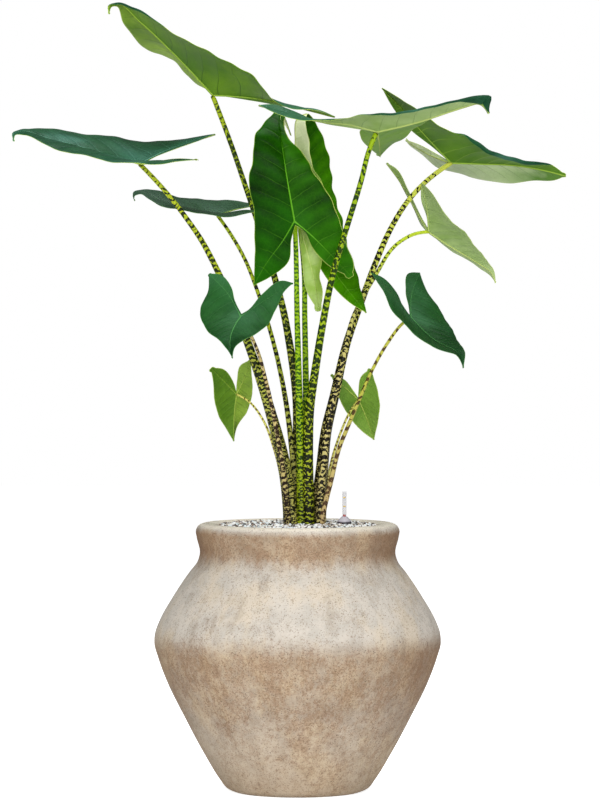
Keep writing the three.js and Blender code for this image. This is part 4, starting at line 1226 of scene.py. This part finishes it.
def leaf_under(tree, marks, dark, light, rib, vein, lift, tip, strength):
    """A matt underside: a green that drifts in blotches and changes towards the tip, with side
    veins and a pale raised rib, fainter on the lobes."""
    made = use_group(tree, marks, {"Vein Width": 0.016, "Edge Width": EDGE_WIDTH})
    # Partly painted light and shade: the undersides' greens and their change to the tip.
    drift = made["Blotch"].fade(0.3, 0.72, lift, lift + 0.6) + made["Tip"] * tip
    colour = drift.calc("MULTIPLY", 1.0, clamp=True).between(dark, light)
    colour = colour.tinted(made["Net"] * 0.14, dark).tinted(made["Side Veins"] * strength, vein)
    colour = colour.tinted(made["Rib"] * (0.85 - made["Lobe"] * 0.3), rib)
    return {
        "Base Color": colour.tinted(made["Edge"] * 0.6, rib),
        "Roughness": made["Blotch"].fade(0.3, 0.7, 0.5, 0.62),
        "Specular IOR Level": 0.2,
        "Normal": made["Relief"].bump(0.3, 0.0006),
    }


def leaf_rim(tree, light, dark):
    """The thin line round a blade."""
    drift = in_place(tree).noise(50.0).fade(0.35, 0.65)
    return {
        "Base Color": drift.between(dark, light),
        "Roughness": drift.fade(0.0, 1.0, 0.45, 0.55),
        "Specular IOR Level": 0.2,
    }


# Stalk finish

def stalk_bands_group():
    """The zebra pattern on a stalk's unrolled skin: rings at an even spacing, thrown into zigzags
    by a noise that changes round the stalk and slowly along it, and broken up by a finer one.
    Where their sum is high it is dark, over a share that changes up the stalk. Near the foot a
    finer noise can take over."""
    tree, entry, leave = new_group("stalk_bands", BAND_INPUTS, ("Band", "Up", "Grain"))
    place = carried(tree, "stalk_place")
    x, y, height = place.split()
    share = carried(tree, "stalk_share", "Fac")
    up = share.calc("POWER", entry["Bend"])
    flat = x.into("CombineXYZ", {0: x, 1: y, 2: height / entry["Stretch"]})
    wide = flat.stretched(0.5, 0.5, 1.0)
    throw = flat.stretched(1.0, 1.0, 0.4).noise(0.17, 1.5, 0.5).swing(2.6)
    ring = (height / entry["Spacing"] + throw).calc("PINGPONG", 0.5) * 2.0
    breaks = wide.noise(0.34, 1.5, 0.5).fade(0.3, 0.7)
    fine = wide.noise(0.55, 1.2, 0.5, 0.6).fade(0.32, 0.68)
    foot = share.fade(0.12, 0.5, 1.0, 0.0) * entry["Fine Foot"]
    level = (ring * 0.56 + breaks * 0.44) * (1.0 - foot) + fine * foot
    limit = up.slope(entry["Dark Foot"], entry["Dark Top"]).slope(0.88, 0.12)
    limit = limit + share.fade(0.88, 0.99, 0.0, entry["Bare Top"])
    grain = place.stretched(1.0, 1.0, 0.05).noise(1.6)
    fill(leave, {"Band": (level - limit).fade(-0.03, 0.03), "Up": up, "Grain": grain})
    return tree


def stalk_skin(tree, bands, pattern, grounds, marks):
    """A stalk's satin skin: its ground runs from the foot's colour to the top's, streaked along,
    under marks whose colour changes on the way up too."""
    made = use_group(tree, bands, pattern)
    up = made["Up"].fade(0.05, 0.75)
    ground = up.between(*grounds)
    ground = ground.tinted(made["Grain"].fade(0.3, 0.75, 0.0, 0.22), ground.tinted(0.5, "4c5212"))
    return {
        "Base Color": made["Band"].between(ground, up.between(*marks)),
        "Roughness": made["Grain"].fade(0.3, 0.7, 0.4, 0.52),
        "Specular IOR Level": 0.14,
        "Normal": made["Grain"].bump(0.12, 0.0006),
    }


# Planter, grit, fill and gauge finishes

def stone_wash_and_painted_light(tree):
    """Cast stone thinly washed with brown: tan at the neck and under the waist, where the brown is
    partly a painted shade under the belly; pale on the shoulder; a painted brown shade on the
    flanks and the neck's sides, a painted lighter band by the foot and a painted highlight on the
    lip's top; with warm clouds, upright smears, ragged brown mottles and pores."""
    where = in_place(tree)
    side, _, height = where.split()
    level_place = where.stretched(1.0, 1.0, 0.0)
    radius = where.into("VectorMath", {0: level_place}, "Value", operation="LENGTH")
    aside = side.calc("ABSOLUTE") / radius
    upright = where.stretched(1.0, 1.0, 0.26)
    streak = upright.noise(26.0, 6.0, 0.66, 0.2)
    cloud = where.noise(38.0, 6.0, 0.66)
    ragged = where.stretched(1.0, 1.0, 0.6).noise(150.0, 8.0, 0.75)
    smear = where.stretched(1.0, 1.0, 0.8).noise(130.0, 8.0, 0.95, 0.1)
    level = height + (streak.swing(0.014) + ragged.swing(0.010))
    neck = level.fade(*NECK_STARTS) * level.fade(*NECK_ENDS, 1.0, 0.0)
    # The brown under the waist is partly painted shade under the belly.
    belly = level.fade(*SHOULDER_STARTS, 1.0, 0.0) * level.fade(0.03, 0.17, 0.45, 0.92)
    wash_and_shade = (neck * 1.1).calc("MAXIMUM", belly)
    # Painted shade: browner towards the flanks as seen from the front and at the neck's sides, unequal
    # left and right.
    flank_shade = aside.fade(0.5, 1.0, 0.0, 0.44) * height.fade(0.04, 0.14)
    flank_shade = flank_shade * wash_and_shade.fade(0.0, 1.0, 0.05, 1.0) * side.fade(*LEFT_TO_RIGHT, 0.34, 1.0)
    flank_shade = flank_shade + neck * (aside.fade(0.6, 1.0) * side.fade(*LEFT_TO_RIGHT, 0.42, 0.1))
    wash_and_shade = (wash_and_shade + streak.swing(0.7)).calc("ADD", ragged.swing(0.7), clamp=True)
    pale = cloud.fade(0.36, 0.6).between("b0aaa1", "bcb5ab")
    brown = cloud.fade(0.34, 0.66).between("8b7861", "a28f76")
    warm = where.stretched(1.0, 1.0, 0.5).noise(26.0, 4.0, 0.6).fade(0.46, 0.66, 0.0, 0.26)
    grey = upright.noise(36.0, 6.0, 0.7, 0.4).fade(0.5, 0.7, 0.0, 0.42)
    colour = pale.tinted(wash_and_shade * 0.88, brown).tinted(warm, "cbb48e").tinted(grey, "877a6a")
    # Painted light: lighter towards the foot, standing in for light from the floor.
    colour = colour.tinted(height.fade(*FOOT_LIGHT_ENDS, 0.4, 0.0), "c2aa8a")
    # Painted highlight on the lip's top.
    colour = colour.tinted(height.fade(*LIP_LIGHT_STARTS, 0.0, 0.85), "ded6c8")
    crowd = smear + (wash_and_shade * 0.10 + streak.swing(0.25))
    mottle = crowd.fade(0.55, 0.62, 0.0, 0.46) * wash_and_shade.fade(0.0, 0.8, 0.38, 1.0)
    colour = colour.tinted(mottle, "86644a").tinted(flank_shade, "755338")
    sand = where.noise(480.0, 3.0, 0.8) + crowd * 0.4
    colour = colour.tinted(sand.fade(0.77, 0.82, 0.0, 0.5), "66503e")
    distance, chances = where.cells(520.0)
    chance = chances[0] + smear.swing(1.2)
    speck = distance.fade(0.2, 0.45, 1.0, 0.0) * chance.fade(0.78, 0.84)
    distance, chances = where.cells(150.0)
    pore = distance.fade(0.06, 0.16, 1.0, 0.0) * chances[1].fade(0.95, 0.97)
    return {
        "Base Color": colour.tinted(speck * 0.6, "54453a").tinted(pore * 0.8, "3a2c22"),
        "Roughness": cloud.fade(0.3, 0.7, 0.82, 0.95),
        "Specular IOR Level": 0.15,
        "Normal": (ragged * 1.2 - pore * 1.6).bump(0.4, 0.0010),
    }


def grit_finish(tree, tones, by_grain):
    """Mixed grains, each with one of the tones by its own number, or a bed that drifts
    between tones; both are mottled a little."""
    where = in_place(tree)
    tone = carried(tree, "grain_tone", "Fac") if by_grain else where.noise(260.0, 2.0)
    node = put(tree, "ValToRGB", {0: tone})
    stops = node.color_ramp.elements
    node.color_ramp.interpolation = "CONSTANT" if by_grain else "LINEAR"
    while len(stops) < len(tones):
        stops.new(0.5)
    for stop, (place, code) in zip(stops, tones):
        stop.position = place
        stop.color = paint(code)
    mottle = where.noise(700.0)
    return {
        "Base Color": Output(node).tinted(mottle.fade(0.3, 0.8, 0.0, 0.35), "8d8378", "MULTIPLY"),
        "Roughness": mottle.fade(0.3, 0.7, 0.5, 0.8),
        "Normal": mottle.bump(0.4, 0.0004),
    }


def crumbly(tree, dark, light, scale):
    """Soil or corm: coarse crumbs of two browns."""
    crumbs = in_place(tree).noise(scale, 6.0, 0.7)
    return {
        "Base Color": crumbs.fade(0.35, 0.65).between(dark, light),
        "Roughness": crumbs.fade(0.3, 0.7, 0.85, 0.97),
        "Normal": crumbs.bump(0.8, 0.002),
    }


def plastic(tree, code, roughness, alpha=1.0):
    """Moulded plastic with a faint drift in its colour and gloss."""
    drift = in_place(tree).noise(120.0)
    return {
        "Base Color": drift.fade(0.3, 0.7, 0.0, 0.1).between(code, "808080"),
        "Roughness": drift.fade(0.3, 0.7, roughness, roughness + 0.08),
        "Alpha": alpha,
    }


def collar_plastic(tree):
    """The gauge's collar: pale above, dark round its foot."""
    where = in_place(tree)
    return {
        "Base Color": where.split()[2].fade(*CAP_TONE_CHANGE).between("3c363d", "b9b5bf"),
        "Roughness": where.noise(150.0).fade(0.3, 0.7, 0.3, 0.42),
    }


# The object

def make_blades():
    marks = leaf_marks_group()
    finishes = {}
    for name, look in UPPER_FACES.items():
        finishes[name] = new_material(f"leaf_upper_{name}", leaf_upper, marks, *look)
    for name, look in UNDERSIDES.items():
        finishes[name] = new_material(f"leaf_under_{name}", leaf_under, marks, *look)
    for name, look in RIMS.items():
        finishes[name] = new_material(f"leaf_rim_{name}", leaf_rim, *look)
    for name in LEAVES:
        make_blade(name, [finishes[look] for look in LOOKS[name][:5]])


def make_stalks():
    bands = stalk_bands_group()
    skins = {}
    for name, (*values, grounds, marks) in STALK_SKINS.items():
        pattern = dict(zip(BAND_INPUTS, values))
        skins[name] = new_material(f"stalk_{name}", stalk_skin, bands, pattern, grounds, marks)
    earlier = []
    for name in LEAVES:
        skin, slot = LOOKS[name][5:]
        make_stalk(name, earlier, skins[skin])
        earlier.append(name)


def make_filling():
    make_grit(new_material("grit_mixed", grit_finish, GRAIN_TONES, True))
    finishes = {
        "grit_dressing": new_material("grit_bed", grit_finish, BED_TONES, False),
        "substrate": new_material("potting_mix", crumbly, "2a1d13", "54402c", 180.0),
        "corm": new_material("corm_skin", crumbly, "5b4029", "94714a", 90.0),
    }
    for node, finish in finishes.items():
        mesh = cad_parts[node].data
        mesh.materials.clear()
        mesh.materials.append(finish)


def make_gauge():
    clear = new_material("gauge_clear_plastic", plastic, "908c95", 0.2, 0.15)
    make_turned("gauge_clear_tube", TUBE_PROFILE, clear, "gauge_tube")
    red = new_material("gauge_red_plastic", plastic, "c8361c", 0.35)
    make_turned("gauge_float_tip", FLOAT_PROFILE, red, "gauge_float", FLOAT_BODY)
    cap = smooth_profile(CAP_PROFILE, np.linspace(0, 1, CAP_STEPS))
    cap = np.concatenate([cap, cap[:1]])
    grey = new_material("gauge_collar_plastic", collar_plastic)
    make_turned("gauge_collar", cap, grey, "gauge_cap")
    make_marks(new_material("gauge_yellow_print", plastic, "d8b23c", 0.4))


def make_marks(finish):
    """The printed marks on the tube's front: each is a thin patch of the tube's skin, closed
    all round, as a grid whose rows go round the patch's section."""
    angle = -math.pi / 2 + np.linspace(-MARK_HALF_ANGLE, MARK_HALF_ANGLE, MARK_STEPS)
    radius = np.array([MARK_INNER, MARK_OUTER, MARK_OUTER, MARK_INNER, MARK_INNER])[:, None]
    rise = np.array([-1, -1, 1, 1, -1])[:, None] * MARK_HALF_HEIGHT
    skin = grid_triangles(len(radius), MARK_STEPS, flipped=True)
    a, b, c, d = np.arange(4) * MARK_STEPS
    ends = np.array([(a, b, c), (a, c, d), (a, c, b), (a, d, c)])
    ends[2:] += MARK_STEPS - 1
    points, faces = [], []
    for number, height in enumerate(MARK_HEIGHTS):
        x = GAUGE_X + radius * np.cos(angle)
        grid = np.stack([x, radius * np.sin(angle), np.broadcast_to(rise + height, x.shape)], -1)
        points.append(grid.reshape(-1, 3))
        faces.append(np.concatenate([skin, ends]) + number * x.size)
    points, faces, _, _ = welded(np.concatenate(points), np.concatenate(faces))
    make_piece("gauge_marks", points, faces, [finish])


# Studio

def put_up(name, data, place, aim=None):
    """An object of the studio at its place, turned to its aim if it has one."""
    holder = bpy.data.objects.new(name, data)
    holder.location = place
    if aim is not None:
        way = Vector(aim) - Vector(place)
        holder.rotation_euler = way.to_track_quat("-Z", "Y").to_euler()
    bpy.context.scene.collection.objects.link(holder)
    return holder


def seen_or_cast(tree, seen, cast):
    """One number for what the camera sees, another for the light that is cast."""
    return Output(put(tree, "LightPath"), "Is Camera Ray").slope(cast, seen)


def floor_paint(tree):
    """White that glows a little, as evenly lit as paper on a light table."""
    return {
        "Base Color": "f6f6f6",
        "Roughness": 0.95,
        "Specular IOR Level": 0.05,
        "Emission Color": "ffffff",
        "Emission Strength": seen_or_cast(tree, FLOOR_GLOW_SEEN, FLOOR_GLOW_CAST),
    }


def make_floor():
    line = np.linspace(-FLOOR_SIZE / 2, FLOOR_SIZE / 2, FLOOR_LINES)
    x, y = np.meshgrid(line, line, indexing="ij")
    points = np.stack([x, y, np.full_like(x, FLOOR_HEIGHT)], -1).reshape(-1, 3)
    mesh = bpy.data.meshes.new("studio_floor")
    mesh.from_pydata(points.tolist(), [], grid_triangles(FLOOR_LINES, FLOOR_LINES).tolist())
    mesh.materials.append(new_material("studio_floor_paint", floor_paint))
    floor = put_up("studio_floor", mesh, (0, 0, 0))


def make_studio():
    """White all round for the camera, dimmer for the light, and four large soft boxes."""
    scene = bpy.context.scene
    world = bpy.data.worlds.new("studio")
    world.use_nodes = True
    tree = world.node_tree
    tree.nodes.clear()
    ground = put(tree, "Background", {
        "Color": "ffffff", "Strength": seen_or_cast(tree, 1.0, WORLD_LIGHT)})
    put(tree, "OutputWorld", {0: Output(ground)})
    scene.world = world
    scene.view_settings.view_transform = "Standard"
    make_floor()
    for name, place, size, power, colour in LAMPS:
        lamp = bpy.data.lights.new(name, "AREA")
        lamp.shape = "RECTANGLE"
        lamp.size = size
        lamp.size_y = size
        lamp.energy = power
        lamp.color = colour
        put_up(name, lamp, place, LAMP_AIM)
    camera = bpy.data.cameras.new("photo_camera")
    camera.lens = CAMERA_LENS
    camera.clip_end = CAMERA_REACH
    scene.camera = put_up("photo_camera", camera, CAMERA_PLACE, CAMERA_AIM)


make_studio()
make_planter(new_material("stone_wash_and_painted_light", stone_wash_and_painted_light))
make_filling()
make_gauge()
make_blades()
make_stalks()
